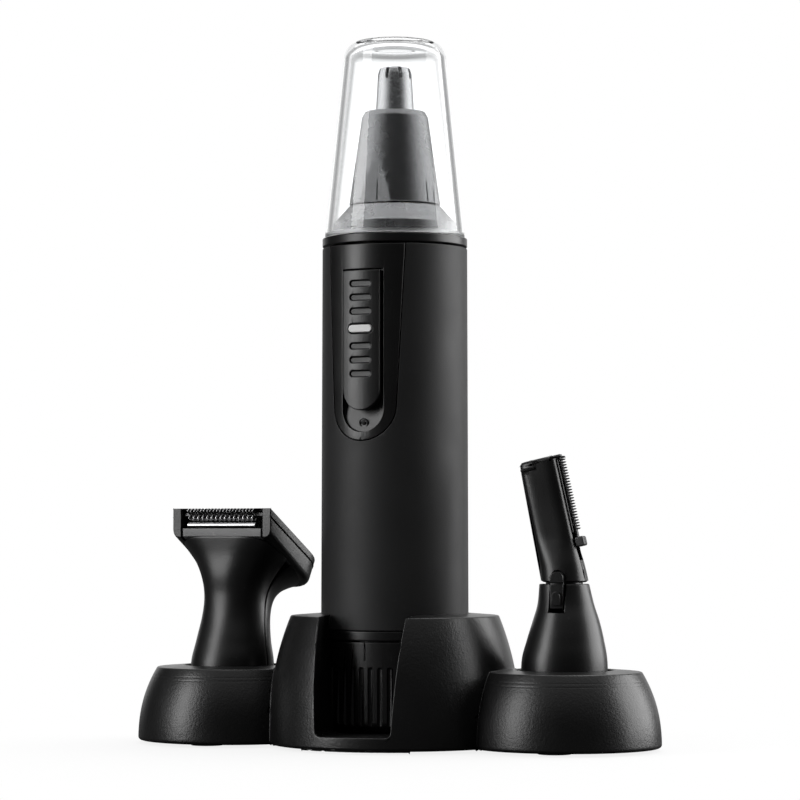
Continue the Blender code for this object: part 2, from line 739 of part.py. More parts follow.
def build_shaver_head(axis, slab, satin_black, grey, steel, brass):
    make_piece("shaver_neck_front", neck_shell(182.0, 358.0), satin_black, axis)
    make_piece("shaver_neck_rear", neck_shell(2.0, 178.0), satin_black, axis)
    make_piece("shaver_plug", ring(4.4, 6.2, HEAD_LOW_Z + 0.1, 5.2, 20), satin_black, axis)
    make_piece("shaver_bush", ring(SPINDLE_R + BUSH_CLEARANCE, 4.7, 18.0, 19.8, 20), brass, axis)

    outline = rounded_box(SLAB_HALF, 0.0, SLAB_LENGTH, 1.5, SLAB_REAR_CORNER)
    frame_bm = prism(outline, -SLAB_THICK, 0.0)
    under = [edge for edge in frame_bm.edges if all(vert.co.z < -4.9 for vert in edge.verts)]
    bmesh.ops.bevel(frame_bm, geom=under, offset=1.3, segments=1, profile=0.5, affect="EDGES")
    frame = make_piece("shaver_frame", frame_bm, satin_black, slab)
    mouth = block((-SLAB_MOUTH_HALF, -1.0, -6.0), (SLAB_MOUTH_HALF, SLAB_MOUTH_DEPTH, 1.0))
    cut(frame, make_cutter("frame_mouth", mouth, slab))
    cut(frame, make_cutter("crank_pocket", block((-5.5, 4.0, -6.0), (5.5, 10.5, -1.2)), slab))

    comb = comb_outline(SLAB_MOUTH_HALF - GAP, 4.7, 1.6, -0.3, 0.78, 0.5, 1.8)
    make_piece("shaver_comb", prism(comb, -0.95, -0.15), steel, slab)
    holder = block((-9.3, 0.1, -5.0), (9.3, 4.6, -3.55))
    make_piece("shaver_blade_holder", holder, grey, slab)
    make_piece("shaver_guard_bar", block((-8.2, 0.1, -3.25), (8.2, 1.5, -2.4)), steel, slab)


def build_shaver_blade(slab, steel, grey):
    blade = comb_outline(7.9, 4.2, 1.5, 0.1, 1.08, 0.6)
    make_piece("shaver_moving_blade", prism(blade, -2.05, -1.35), steel, slab)
    carrier = make_piece("shaver_blade_carrier", block((-4.0, 1.9, -3.15), (4.0, 8.8, -2.35)), grey, slab)
    crank_slot = block((-2.0, 4.6, -4.0), (2.0, 8.2, -1.0))
    cut(carrier, make_cutter("crank_slot", crank_slot, slab))


def make_spindle(name, axis, high, pin_r, pin_high, plastic):
    """A vertical drive spindle with a flat tongue below and an offset pin above."""
    spindle = make_piece(name, rod(SPINDLE_R, 6.6, high, 12), plastic, axis)
    tongue = block((-TONGUE_HALF, -0.6, 5.6), (TONGUE_HALF, 0.6, 8.0))
    join(spindle, make_cutter("tongue", tongue, axis))
    pin = make_cutter("crank_pin", rod(pin_r, high - 1.0, pin_high, 8), axis, (CRANK_THROW, 0.0, 0.0))
    join(spindle, pin)


# Brow head

# Each row: height, sideways offset of the centre, half width, half depth, squareness
BROW_BASE = (
    (HEAD_LOW_Z, 0.0, 8.35, 8.35, 2.0),
    (17.0, 0.0, 8.35, 8.35, 2.0),
    (21.3, 0.2, 7.5, 7.5, 2.0),
    (25.0, 0.35, 6.5, 6.4, 2.0),
    (28.3, 0.3, 5.5, 5.3, 2.0),
    (32.2, 0.0, 4.8, 4.5, 2.2),
)
BROW_ARM = (
    (BROW_SEAM_Z + 0.15, 0.15, 4.6, 4.4, 2.2),
    (36.0, -0.4, 4.3, 3.8, 2.4),
    (39.5, -1.3, 4.05, 3.0, 3.0),
    (42.4, -1.95, 3.85, 2.6, 4.0),
    (59.0, -5.7, 3.8, 2.4, 4.0),
)
ARM_TIP_Z = 24.0


def brow_body(rows, inset=0.0, overrun=0.0):
    """A body through the rows' ovals, made smaller by an inset and longer at both ends by an overrun."""
    rings = []
    for height, side, half_x, half_y, power in rows:
        if height == rows[0][0]:
            height -= overrun
        elif height == rows[-1][0]:
            height += overrun
        outline = oval(half_x - inset, half_y - inset, power, 0.0, 345.0, 23)
        rings.append([(side + x, y, height) for x, y in outline])
    return loft(rings)


def latch_outline(half, low, high):
    return arc((0.0, high - half), half, 0, 180, 6) + [(-half, low), (half, low)]


def build_brow_head(axis, arm, satin_black, steel, brass):
    base = make_piece("brow_base", brow_body(BROW_BASE), satin_black, axis)
    cut(base, make_cutter("brow_base_hollow", brow_body(BROW_BASE, NECK_WALL, 1.0), axis))
    latch_room = prism(latch_outline(LATCH_HALF, LATCH_LOW_Z, LATCH_TOP_Z), -8.0, -3.5, "Y")
    cut(base, make_cutter("latch_room", latch_room, axis))
    make_piece("brow_plug", ring(4.4, 6.2, HEAD_LOW_Z + 0.1, 5.2, 20), satin_black, axis)
    make_piece("brow_bush", ring(SPINDLE_R + BUSH_CLEARANCE, 5.2, 19.0, 20.8, 20), brass, axis)

    front = make_piece("brow_arm_front", brow_body(BROW_ARM), satin_black, axis)
    front_half = block((-20.0, -10.0, 30.0), (20.0, ARM_SPLIT_FRONT_Y, 60.0))
    combine(front, make_cutter("arm_front_half", front_half, axis), "INTERSECT")
    front_latch = prism(latch_outline(LATCH_HALF, LATCH_LOW_Z, LATCH_TOP_Z), -8.0, -3.2, "Y")
    cut(front, make_cutter("latch_arch", front_latch, axis))
    rear = make_piece("brow_arm_rear", brow_body(BROW_ARM), satin_black, axis)
    rear_half = block((-20.0, ARM_SPLIT_REAR_Y, 30.0), (20.0, 10.0, 60.0))
    combine(rear, make_cutter("arm_rear_half", rear_half, axis), "INTERSECT")
    for shell in (front, rear):
        cut(shell, make_cutter("arm_tip", block((-12.0, -10.0, ARM_TIP_Z), (12.0, 10.0, 40.0)), arm))
    cut(rear, make_cutter("blade_pocket", block((-2.3, -3.0, 3.0), (9.0, 1.3, 23.6)), arm))
    cut(rear, make_cutter("pin_bore", rod(1.6, 30.0, 37.0, 12), axis))

    fixed = block((-2.0, -0.65, 8.6), (BROW_EDGE_X + 0.15, -0.2, 23.3))
    make_piece("brow_fixed_blade", fixed, steel, arm)


def edge_comb(base_x, root_x, tip_x, low, high, pitch, fill):
    """Outline of a toothed strip that stands along Z, with its teeth pointing to +X."""
    outline = [(base_x, high), (base_x, low), (root_x, low)]
    count = int((high - low) / pitch)
    start = (low + high - count * pitch) / 2
    for index in range(count):
        lower = start + pitch * (index + 0.5 - fill / 2)
        upper = start + pitch * (index + 0.5 + fill / 2)
        outline += [(root_x, lower), (tip_x, lower), (tip_x, upper), (root_x, upper)]
    outline.append((root_x, high))
    return outline


def build_brow_blade(arm, steel, plastic):
    blade = edge_comb(-1.8, BROW_EDGE_X - 0.3, BROW_EDGE_X + 0.1, 9.4, 22.6, 1.1, 0.55)
    make_piece("brow_moving_blade", prism(blade, 0.1, 0.5, "Y"), steel, arm)
    make_piece("brow_lever", block((-1.2, 0.8, 4.2), (1.2, 1.2, 11.0)), plastic, arm)


def build_brow_comb(arm, grey):
    teeth = edge_comb(BROW_EDGE_X + 0.5, BROW_EDGE_X + 0.85, BROW_EDGE_X + 1.6, 8.8, 23.8, 0.55, 0.5)
    comb = make_piece("brow_comb", prism(teeth, -0.7, 0.5, "Y"), grey, arm)
    foot = block((BROW_EDGE_X + 0.2, -1.3, 5.6), (BROW_EDGE_X + 2.0, 1.1, 7.5))
    stem = block((BROW_EDGE_X + 0.5, -0.6, 7.0), (BROW_EDGE_X + 0.85, 0.4, 9.2))
    join(comb, make_cutter("comb_foot", foot, arm), make_cutter("comb_stem", stem, arm))


def build_brow_latch(axis, satin_black):
    outline = latch_outline(LATCH_HALF - GAP, LATCH_LOW_Z + 0.8, LATCH_TOP_Z - GAP)
    make_piece("brow_latch", prism(outline, LATCH_FRONT_Y, LATCH_BACK_Y, "Y"), satin_black, axis)


def build_set():
    clear_scene()
    stand_black = make_material("stand_black", (0.012, 0.012, 0.013), 0.5)
    satin_black = make_material("satin_black", (0.014, 0.014, 0.015), 0.42)
    soft_black = make_material("soft_black", (0.018, 0.018, 0.019), 0.62)
    smoked = make_material("smoked_plastic", (0.06, 0.06, 0.062), 0.3)
    grey = make_material("grey_plastic", (0.09, 0.09, 0.092), 0.5)
    white = make_material("white_plastic", (0.8, 0.8, 0.8), 0.35)
    rubber = make_material("foot_rubber", (0.02, 0.02, 0.02), 0.8)
    steel = make_material("blade_steel", (0.62, 0.62, 0.63), 0.25, 1.0)
    brass = make_material("bush_brass", (0.75, 0.58, 0.3), 0.35, 1.0)
    copper = make_material("contact_copper", (0.8, 0.62, 0.42), 0.35, 1.0)
    wrap = make_material("cell_wrap", (0.1, 0.2, 0.35), 0.4)
    clear = make_material("clear_cover", (0.95, 0.96, 0.97), 0.05, 0.0, 0.3)

    build_stand(stand_black, rubber, steel)

    handle = make_axis("handle_axis", (0.0, 0.0, 0.0), HANDLE_TURN)
    build_handle(handle, soft_black, satin_black, steel, copper, wrap, white)
    build_cap(handle, satin_black, steel, copper)
    build_rotor(handle, steel, grey)
    build_nose_head(handle, smoked, soft_black, steel, brass)
    build_nose_cutter(handle, steel, grey)
    build_cover(handle, clear)

    shaver = make_axis("shaver_axis", (-POD_SPACING, 0.0, 0.0), SHAVER_TURN)
    slab = make_axis("slab_axis", (0.0, SLAB_FRONT_Y, SLAB_TOP_Z), -SLAB_TILT, "X", shaver)
    build_shaver_head(shaver, slab, satin_black, grey, steel, brass)
    build_shaver_blade(slab, steel, grey)
    make_spindle("shaver_spindle", shaver, 38.0, 0.5, 41.8, grey)

    brow = make_axis("brow_axis", (POD_SPACING, 0.0, 0.0))
    arm = make_axis("arm_axis", (BROW_ARM_X, 0.0, BROW_ARM_Z), -BROW_LEAN, "Y", brow)
    build_brow_head(brow, arm, satin_black, steel, brass)
    build_brow_blade(arm, steel, grey)
    build_brow_comb(arm, grey)
    build_brow_latch(brow, satin_black)
    make_spindle("brow_spindle", brow, 31.7, 0.35, 35.9, grey)


build_set()
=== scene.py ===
import math

import bpy
from mathutils import Matrix, Vector


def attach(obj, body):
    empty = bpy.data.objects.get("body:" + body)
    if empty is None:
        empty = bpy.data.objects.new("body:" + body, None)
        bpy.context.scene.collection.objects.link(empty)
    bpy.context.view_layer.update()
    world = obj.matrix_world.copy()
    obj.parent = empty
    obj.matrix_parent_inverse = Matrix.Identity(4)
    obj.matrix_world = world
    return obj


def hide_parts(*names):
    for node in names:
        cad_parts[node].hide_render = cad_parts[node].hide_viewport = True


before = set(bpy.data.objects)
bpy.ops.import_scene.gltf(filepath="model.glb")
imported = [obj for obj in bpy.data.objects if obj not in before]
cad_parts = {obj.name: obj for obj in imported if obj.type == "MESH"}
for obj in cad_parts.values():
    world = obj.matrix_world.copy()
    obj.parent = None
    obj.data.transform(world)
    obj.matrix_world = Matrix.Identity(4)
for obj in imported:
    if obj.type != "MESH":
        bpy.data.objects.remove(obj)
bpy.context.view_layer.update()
print("frame loaded:", len(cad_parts), "solids")

# Pieces are drawn in millimetres round their own axis. finishPiece brings them to metres and into place.
mm = 0.001
up = Matrix.Rotation(0, 4, "Z")
handlePlace = Matrix.Rotation(math.radians(-7), 4, "Z")
shaverPlace = Matrix.Translation((-0.035, 0, 0)) @ Matrix.Rotation(math.radians(-10), 4, "Z")
slabLean = Matrix.Rotation(math.radians(-30), 4, "X")
slabPlace = shaverPlace @ Matrix.Translation((0, -0.0041, 0.0471)) @ slabLean
browPlace = Matrix.Translation((0.035, 0, 0))
armPlace = browPlace @ Matrix.Translation((0.0002, 0, 0.033)) @ Matrix.Rotation(math.radians(-12.8), 4, "Y")


def clearSelection():
    if bpy.context.object and bpy.context.object.mode == "EDIT":
        bpy.ops.object.mode_set(mode="OBJECT")
    bpy.ops.object.select_all(action="DESELECT")


def pickOnly(*chosen):
    clearSelection()
    for piece in chosen:
        piece.select_set(True)
    bpy.context.view_layer.objects.active = chosen[0]


def useModifier(piece, kind, **settings):
    modifier = piece.modifiers.new(kind, kind)
    for key, value in settings.items():
        setattr(modifier, key, value)
    pickOnly(piece)
    bpy.ops.object.modifier_apply(modifier=modifier.name)
    return piece


def cut(piece, tool, solver="EXACT", operation="DIFFERENCE"):
    useModifier(piece, "BOOLEAN", object=tool, operation=operation, solver=solver)
    bpy.data.objects.remove(tool)
    return piece


def add(piece, tool, solver="EXACT"):
    return cut(piece, tool, solver, "UNION")


def keepInside(piece, tool, solver="EXACT"):
    return cut(piece, tool, solver, "INTERSECT")


def roundEdges(piece, width, segments=2, angle=35, clamp=False):
    useModifier(
        piece,
        "BEVEL",
        width=width,
        segments=segments,
        limit_method="ANGLE",
        angle_limit=math.radians(angle),
        use_clamp_overlap=clamp,
    )
    return piece


def tidyShell(piece):
    # merges what meets and turns every face outwards
    pickOnly(piece)
    bpy.ops.object.mode_set(mode="EDIT")
    bpy.ops.mesh.select_all(action="SELECT")
    bpy.ops.mesh.remove_doubles(threshold=0.002)
    bpy.ops.mesh.normals_make_consistent(inside=False)
    bpy.ops.object.mode_set(mode="OBJECT")
    return piece


def drawUp(name, rows, steps=96):
    # a circle drawn through (radius, height) rows; a radius of 0 at an end closes it
    clearSelection()
    rings = [row for row in rows if row[0] > 0]
    radius, height = rings[0]
    fill = "NGON" if rows[0][0] == 0 else "NOTHING"
    bpy.ops.mesh.primitive_circle_add(vertices=steps, radius=radius, fill_type=fill, location=(0, 0, height))
    piece = bpy.context.object
    piece.name = name
    bpy.ops.object.mode_set(mode="EDIT")
    bpy.ops.mesh.select_mode(type="EDGE")
    bpy.ops.mesh.select_all(action="SELECT")
    for nextRadius, nextHeight in rings[1:]:
        bpy.ops.mesh.extrude_edges_move(TRANSFORM_OT_translate={"value": (0, 0, nextHeight - height)})
        grow = nextRadius / radius
        bpy.ops.transform.resize(value=(grow, grow, 1), center_override=(0, 0, nextHeight))
        radius, height = nextRadius, nextHeight
    if rows[-1][0] == 0:
        bpy.ops.mesh.edge_face_add()
    bpy.ops.object.mode_set(mode="OBJECT")
    return tidyShell(piece)


def fillet(points, radius, steps=4, closed=False):
    # every corner of the line becomes a curve; a point may bring its own radius as a third number
    line = []
    count = len(points)
    for index, point in enumerate(points):
        corner = Vector(point[:2])
        own = point[2] if len(point) > 2 else radius
        if not own or (not closed and index in (0, count - 1)):
            line.append(tuple(corner))
            continue
        back = Vector(points[index - 1][:2]) - corner
        ahead = Vector(points[(index + 1) % count][:2]) - corner
        half = back.angle(ahead) / 2
        reach = min(own / math.tan(half), 0.49 * back.length, 0.49 * ahead.length)
        first = corner + back.normalized() * reach
        last = corner + ahead.normalized() * reach
        for step in range(steps + 1):
            t = step / steps
            line.append(tuple(first * (1 - t) ** 2 + corner * 2 * t * (1 - t) + last * t**2))
    return line


def turned(name, points, radius=0.2, steps=96, rounding=3):
    # a closed profile of (radius, height) corners with soft edges
    rows = fillet(points, radius, rounding, closed=True)
    return drawUp(name, rows + rows[:1], steps)


def block(name, low, high):
    clearSelection()
    low, high = Vector(low), Vector(high)
    bpy.ops.mesh.primitive_cube_add(size=1, location=(low + high) / 2, scale=high - low)
    bpy.ops.object.transform_apply(location=True, rotation=True, scale=True)
    piece = bpy.context.object
    piece.name = name
    return piece


def plate(name, outline, low, high, axis="Z"):
    # a filled outline drawn from low to high along an axis
    clearSelection()
    bpy.ops.mesh.primitive_circle_add(vertices=len(outline), radius=1, fill_type="NGON")
    piece = bpy.context.object
    piece.name = name
    for vertex, (across, along) in zip(piece.data.vertices, outline):
        vertex.co = {"X": (low, across, along), "Y": (across, low, along), "Z": (across, along, low)}[axis]
    sweep = Vector((axis == "X", axis == "Y", axis == "Z")) * (high - low)
    bpy.ops.object.mode_set(mode="EDIT")
    bpy.ops.mesh.select_all(action="SELECT")
    bpy.ops.mesh.extrude_region_move(TRANSFORM_OT_translate={"value": sweep})
    bpy.ops.mesh.select_all(action="SELECT")
    bpy.ops.mesh.normals_make_consistent(inside=False)
    bpy.ops.object.mode_set(mode="OBJECT")
    return piece


def wrapGrid(name, columns, rows, place, closed=False, caps=False):
    # a grid whose points are put in place by a function of their shares across and up
    clearSelection()
    bpy.ops.mesh.primitive_grid_add(x_subdivisions=columns, y_subdivisions=rows, size=1)
    piece = bpy.context.object
    piece.name = name
    for index, vertex in enumerate(piece.data.vertices):
        vertex.co = place(index % (columns + 1) / columns, index // (columns + 1) / rows)
    if closed:
        bpy.ops.object.mode_set(mode="EDIT")
        bpy.ops.mesh.select_all(action="SELECT")
        bpy.ops.mesh.remove_doubles(threshold=0.002)
        if caps:
            bpy.ops.mesh.select_all(action="DESELECT")
            bpy.ops.mesh.select_mode(type="EDGE")
            bpy.ops.mesh.select_non_manifold()
            bpy.ops.mesh.edge_face_add()
            bpy.ops.mesh.select_all(action="SELECT")
            bpy.ops.mesh.normals_make_consistent(inside=False)
        bpy.ops.object.mode_set(mode="OBJECT")
    return piece


def trimPast(piece, point, normal):
    # cuts away what lies past a plane and closes the cut
    pickOnly(piece)
    bpy.ops.object.mode_set(mode="EDIT")
    bpy.ops.mesh.select_all(action="SELECT")
    bpy.ops.mesh.bisect(plane_co=point, plane_no=normal, use_fill=True, clear_outer=True)
    bpy.ops.object.mode_set(mode="OBJECT")
    return piece


def moveBy(piece, matrix):
    piece.matrix_world = matrix @ piece.matrix_world
    return piece


def copyOf(piece, matrix):
    twin = piece.copy()
    twin.data = piece.data.copy()
    bpy.context.scene.collection.objects.link(twin)
    twin.matrix_world = matrix @ piece.matrix_world
    return twin


def mergeNear(piece, distance, test):
    # merges close points, only where the test holds
    pickOnly(piece)
    bpy.ops.object.mode_set(mode="EDIT")
    bpy.ops.mesh.select_mode(type="VERT")
    bpy.ops.mesh.select_all(action="DESELECT")
    bpy.ops.object.mode_set(mode="OBJECT")
    for vertex in piece.data.vertices:
        vertex.select = test(vertex.co)
    bpy.ops.object.mode_set(mode="EDIT")
    bpy.ops.mesh.remove_doubles(threshold=distance)
    bpy.ops.object.mode_set(mode="OBJECT")
    return piece


def joinAll(pieces):
    pickOnly(*pieces)
    bpy.ops.object.join()
    return pieces[0]


def ringOf(piece, count, first=0, step=None):
    # copies a shape round Z and joins the copies
    step = math.tau / count if step is None else step
    twins = [copyOf(piece, Matrix.Rotation(first + index * step, 4, "Z")) for index in range(count)]
    bpy.data.objects.remove(piece)
    return joinAll(twins)


def slotOutline(lowHalf, topHalf, lowZ, topZ, steps=16):
    # an upright slot: round below, widening to a square top
    outline = []
    for step in range(steps + 1):
        angle = math.pi * (1 + step / steps)
        outline.append((lowHalf * math.cos(angle), lowZ + lowHalf + lowHalf * math.sin(angle)))
    return outline + [(topHalf, topZ), (-topHalf, topZ)]


def pillOutline(half, radius, centreZ, steps=8):
    outline = []
    for side in (1, -1):
        for step in range(steps + 1):
            angle = math.pi * (step / steps - 0.5)
            x = side * (half - radius + radius * math.cos(angle))
            outline.append((x, centreZ + side * radius * math.sin(angle)))
    return outline


def rowAt(rows, share):
    # a smooth row between the given rows
    spot = share * (len(rows) - 1)
    index = min(int(spot), len(rows) - 2)
    t = spot - index
    before, low, high, after = (rows[min(max(index + k, 0), len(rows) - 1)] for k in (-1, 0, 1, 2))
    mixed = []
    for a, b, c, d in zip(before, low, high, after):
        square = (2 * a - 5 * b + 4 * c - d) * t**2
        cubic = (3 * b - 3 * c + d - a) * t**3
        mixed.append(0.5 * (2 * b + (c - a) * t + square + cubic))
    return mixed


def ovalPoint(halfX, halfY, power, angle):
    cosine, sine = math.cos(angle), math.sin(angle)
    x = halfX * math.copysign(abs(cosine) ** (2 / power), cosine)
    return x, halfY * math.copysign(abs(sine) ** (2 / power), sine)


def finishPiece(piece, body, slot, *nodes, place=up, angle=35, weighted=True):
    piece.matrix_world = place @ Matrix.Scale(mm, 4) @ piece.matrix_world
    pickOnly(piece)
    bpy.ops.object.transform_apply(location=True, rotation=True, scale=True)
    bpy.ops.object.shade_smooth_by_angle(angle=math.radians(angle))
    if weighted:
        useModifier(piece, "WEIGHTED_NORMAL", keep_sharp=True)
    piece.data.materials.clear()
    piece.data.materials.append(finishes[slot])
    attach(piece, body)
    if nodes:
        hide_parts(*nodes)
    return piece


# Finishes


def startGroup(name, inputs, outputs):
    group = bpy.data.node_groups.new(name, "ShaderNodeTree")
    for label, value in inputs:
        kind = "NodeSocketVector" if value is None else "NodeSocketFloat"
        socket = group.interface.new_socket(label, in_out="INPUT", socket_type=kind)
        if value is not None:
            socket.default_value = value
    for label in outputs:
        group.interface.new_socket(label, in_out="OUTPUT", socket_type="NodeSocketFloat")
    return group, group.nodes.new("NodeGroupInput"), group.nodes.new("NodeGroupOutput")


def mathNode(tree, operation, first, second=None, clamp=False):
    node = tree.nodes.new("ShaderNodeMath")
    node.operation = operation
    node.use_clamp = clamp
    for socket, value in zip(node.inputs, (first, second)):
        if isinstance(value, (int, float)):
            socket.default_value = value
        elif value is not None:
            tree.links.new(value, socket)
    return node.outputs[0]


def noiseNode(tree, vector, scale, detail=3.0, roughness=0.5):
    node = tree.nodes.new("ShaderNodeTexNoise")
    node.inputs["Detail"].default_value = detail
    node.inputs["Roughness"].default_value = roughness
    tree.links.new(vector, node.inputs["Vector"])
    if isinstance(scale, (int, float)):
        node.inputs["Scale"].default_value = scale
    else:
        tree.links.new(scale, node.inputs["Scale"])
    return node.outputs["Fac"]


def makeGrainGroup():
    # moulded plastic: a fine spark-eroded grain, and slow cloudy patches where it is handled
    group, inside, outside = startGroup(
        "mouldedGrain",
        [("Vector", None), ("Grain", 4200.0), ("Patch", 90.0)],
        ["Height", "Patches", "Specks"],
    )
    vector = inside.outputs["Vector"]
    cells = group.nodes.new("ShaderNodeTexVoronoi")
    cells.feature = "SMOOTH_F1"
    cells.inputs["Smoothness"].default_value = 0.6
    group.links.new(vector, cells.inputs["Vector"])
    group.links.new(inside.outputs["Grain"], cells.inputs["Scale"])
    fine = noiseNode(group, vector, mathNode(group, "MULTIPLY", inside.outputs["Grain"], 0.55), 2.0)
    height = mathNode(group, "ADD", mathNode(group, "MULTIPLY", cells.outputs["Distance"], 0.5), fine)
    patches = noiseNode(group, vector, inside.outputs["Patch"], 4.0, 0.6)
    dots = noiseNode(group, vector, 1500.0, 0.0)
    specks = mathNode(group, "MULTIPLY", mathNode(group, "SUBTRACT", dots, 0.78, True), 9.0, True)
    group.links.new(height, outside.inputs["Height"])
    group.links.new(patches, outside.inputs["Patches"])
    group.links.new(specks, outside.inputs["Specks"])
    return group


def makeEdgeGroup():
    # edges that catch the hand: a mask from how far a spot stands out
    group, inside, outside = startGroup("edgeWear", [("Vector", None), ("Wear", 0.5)], ["Mask"])
    shape = group.nodes.new("ShaderNodeNewGeometry")
    ramp = group.nodes.new("ShaderNodeMapRange")
    ramp.inputs["From Min"].default_value = 0.52
    ramp.inputs["From Max"].default_value = 0.62
    group.links.new(shape.outputs["Pointiness"], ramp.inputs["Value"])
    broken = noiseNode(group, inside.outputs["Vector"], 420.0, 4.0)
    worn = mathNode(group, "MULTIPLY", ramp.outputs["Result"], mathNode(group, "MULTIPLY", broken, 1.6))
    group.links.new(mathNode(group, "MULTIPLY", worn, inside.outputs["Wear"], True), outside.inputs["Mask"])
    return group


def makeBrushGroup():
    # drawn or turned metal: long streaks across one direction
    sockets = [("Vector", None), ("Fine", 1.0)]
    group, inside, outside = startGroup("brushedStreaks", sockets, ["Streaks", "Cloud"])
    streaks = noiseNode(group, inside.outputs["Vector"], inside.outputs["Fine"], 5.0, 0.7)
    cloud = noiseNode(group, inside.outputs["Vector"], 6.0, 2.0)
    group.links.new(streaks, outside.inputs["Streaks"])
    group.links.new(cloud, outside.inputs["Cloud"])
    return group


grainGroup = makeGrainGroup()
edgeGroup = makeEdgeGroup()
brushGroup = makeBrushGroup()


def startMaterial(name):
    material = bpy.data.materials.new(name)
    material.use_nodes = True
    tree = material.node_tree
    shader = tree.nodes["Principled BSDF"]
    place = tree.nodes.new("ShaderNodeTexCoord").outputs["Object"]
    return material, tree, shader, place


def placeGroup(tree, group, vector, **values):
    node = tree.nodes.new("ShaderNodeGroup")
    node.node_tree = group
    tree.links.new(vector, node.inputs["Vector"])
    for label, value in values.items():
        node.inputs[label].default_value = value
    return node


def mixColour(tree, share, first, second):
    node = tree.nodes.new("ShaderNodeMix")
    node.data_type = "RGBA"
    tree.links.new(share, node.inputs["Factor"])
    for socket, value in ((node.inputs[6], first), (node.inputs[7], second)):
        if isinstance(value, tuple):
            socket.default_value = (*value, 1)
        else:
            tree.links.new(value, socket)
    return node.outputs[2]


def rangeNode(tree, value, low, high):
    node = tree.nodes.new("ShaderNodeMapRange")
    node.inputs["From Min"].default_value = 0.3
    node.inputs["From Max"].default_value = 0.7
    node.inputs["To Min"].default_value = low
    node.inputs["To Max"].default_value = high
    tree.links.new(value, node.inputs["Value"])
    return node.outputs["Result"]


def bumpNode(tree, height, distance, strength, shader):
    node = tree.nodes.new("ShaderNodeBump")
    node.inputs["Distance"].default_value = distance
    node.inputs["Strength"].default_value = strength
    tree.links.new(height, node.inputs["Height"])
    tree.links.new(node.outputs["Normal"], shader.inputs["Normal"])


def plasticFinish(name, look):
    material, tree, shader, place = startMaterial(name)
    grain = placeGroup(tree, grainGroup, place, Grain=look["grain"], Patch=look["patch"])
    wear = placeGroup(tree, edgeGroup, place, Wear=look["wear"])
    base = mixColour(tree, grain.outputs["Patches"], look["colour"], look["tint"])
    worn = mixColour(tree, wear.outputs["Mask"], base, look["worn"])
    dusty = mixColour(tree, grain.outputs["Specks"], worn, look["dust"])
    tree.links.new(dusty, shader.inputs["Base Color"])
    rough = rangeNode(tree, grain.outputs["Patches"], look["roughLow"], look["roughHigh"])
    polished = mathNode(tree, "MULTIPLY", wear.outputs["Mask"], look["polish"])
    tree.links.new(mathNode(tree, "SUBTRACT", rough, polished, True), shader.inputs["Roughness"])
    bumpNode(tree, grain.outputs["Height"], look["depth"], look["bump"], shader)
    shader.inputs["Metallic"].default_value = look["metal"]
    shader.inputs["IOR"].default_value = look["ior"]
    shader.inputs["Specular IOR Level"].default_value = look["gloss"]
    shader.inputs["Sheen Weight"].default_value = look["sheen"]
    shader.inputs["Sheen Roughness"].default_value = 0.4
    return material


def metalFinish(name, look):
    material, tree, shader, place = startMaterial(name)
    turnNode = tree.nodes.new("ShaderNodeMapping")
    turnNode.inputs["Scale"].default_value = look["streak"]
    turnNode.inputs["Rotation"].default_value = look["turn"]
    tree.links.new(place, turnNode.inputs["Vector"])
    brush = placeGroup(tree, brushGroup, turnNode.outputs["Vector"], Fine=look["fine"])
    base = mixColour(tree, brush.outputs["Streaks"], look["colour"], look["tint"])
    tree.links.new(base, shader.inputs["Base Color"])
    rough = rangeNode(tree, brush.outputs["Streaks"], look["roughLow"], look["roughHigh"])
    tree.links.new(rough, shader.inputs["Roughness"])
    bumpNode(tree, brush.outputs["Streaks"], look["depth"], 0.25, shader)
    shader.inputs["Metallic"].default_value = 1.0
    return material


def clearFinish(name, look):
    # clear moulded plastic with faint hairline scuffs; lamps shine through it
    material, tree, shader, place = startMaterial(name)
    grain = placeGroup(tree, grainGroup, place, Grain=900.0, Patch=35.0)
    rough = rangeNode(tree, grain.outputs["Patches"], look["roughLow"], look["roughHigh"])
    height = tree.nodes.new("ShaderNodeSeparateXYZ")
    tree.links.new(place, height.inputs[0])
    low = mathNode(tree, "LESS_THAN", height.outputs["Z"], look["rimZ"])
    rim = mathNode(tree, "MULTIPLY", low, look["rimRough"])
    tree.links.new(mathNode(tree, "ADD", rough, rim), shader.inputs["Roughness"])
    tint = mixColour(tree, grain.outputs["Patches"], look["colour"], look["tint"])
    tree.links.new(tint, shader.inputs["Base Color"])
    shader.inputs["Metallic"].default_value = 0.0
    shader.inputs["Transmission Weight"].default_value = 1.0
    shader.inputs["IOR"].default_value = look["ior"]
    bumpNode(tree, grain.outputs["Patches"], 0.00002, look["bump"], shader)
    through = tree.nodes.new("ShaderNodeBsdfTransparent")
    through.inputs["Color"].default_value = (0.96, 0.97, 0.97, 1)
    lamp = tree.nodes.new("ShaderNodeLightPath")
    mix = tree.nodes.new("ShaderNodeMixShader")
    tree.links.new(lamp.outputs["Is Shadow Ray"], mix.inputs[0])
    tree.links.new(shader.outputs[0], mix.inputs[1])
    tree.links.new(through.outputs[0], mix.inputs[2])
    tree.links.new(mix.outputs[0], tree.nodes["Material Output"].inputs["Surface"])
    return material


plainPlastic = {
    "metal": 0.0,
    "colour": (0.0030, 0.0030, 0.0032),
    "tint": (0.0045, 0.0045, 0.0047),
    "worn": (0.012, 0.012, 0.0125),
    "dust": (0.014, 0.014, 0.014),
    "grain": 5200.0,
    "patch": 90.0,
    "wear": 0.35,
    "polish": 0.08,
    "roughLow": 0.31,
    "roughHigh": 0.38,
    "depth": 0.00004,
    "bump": 0.35,
    "ior": 1.5,
    "gloss": 0.5,
    "sheen": 0.0,
}

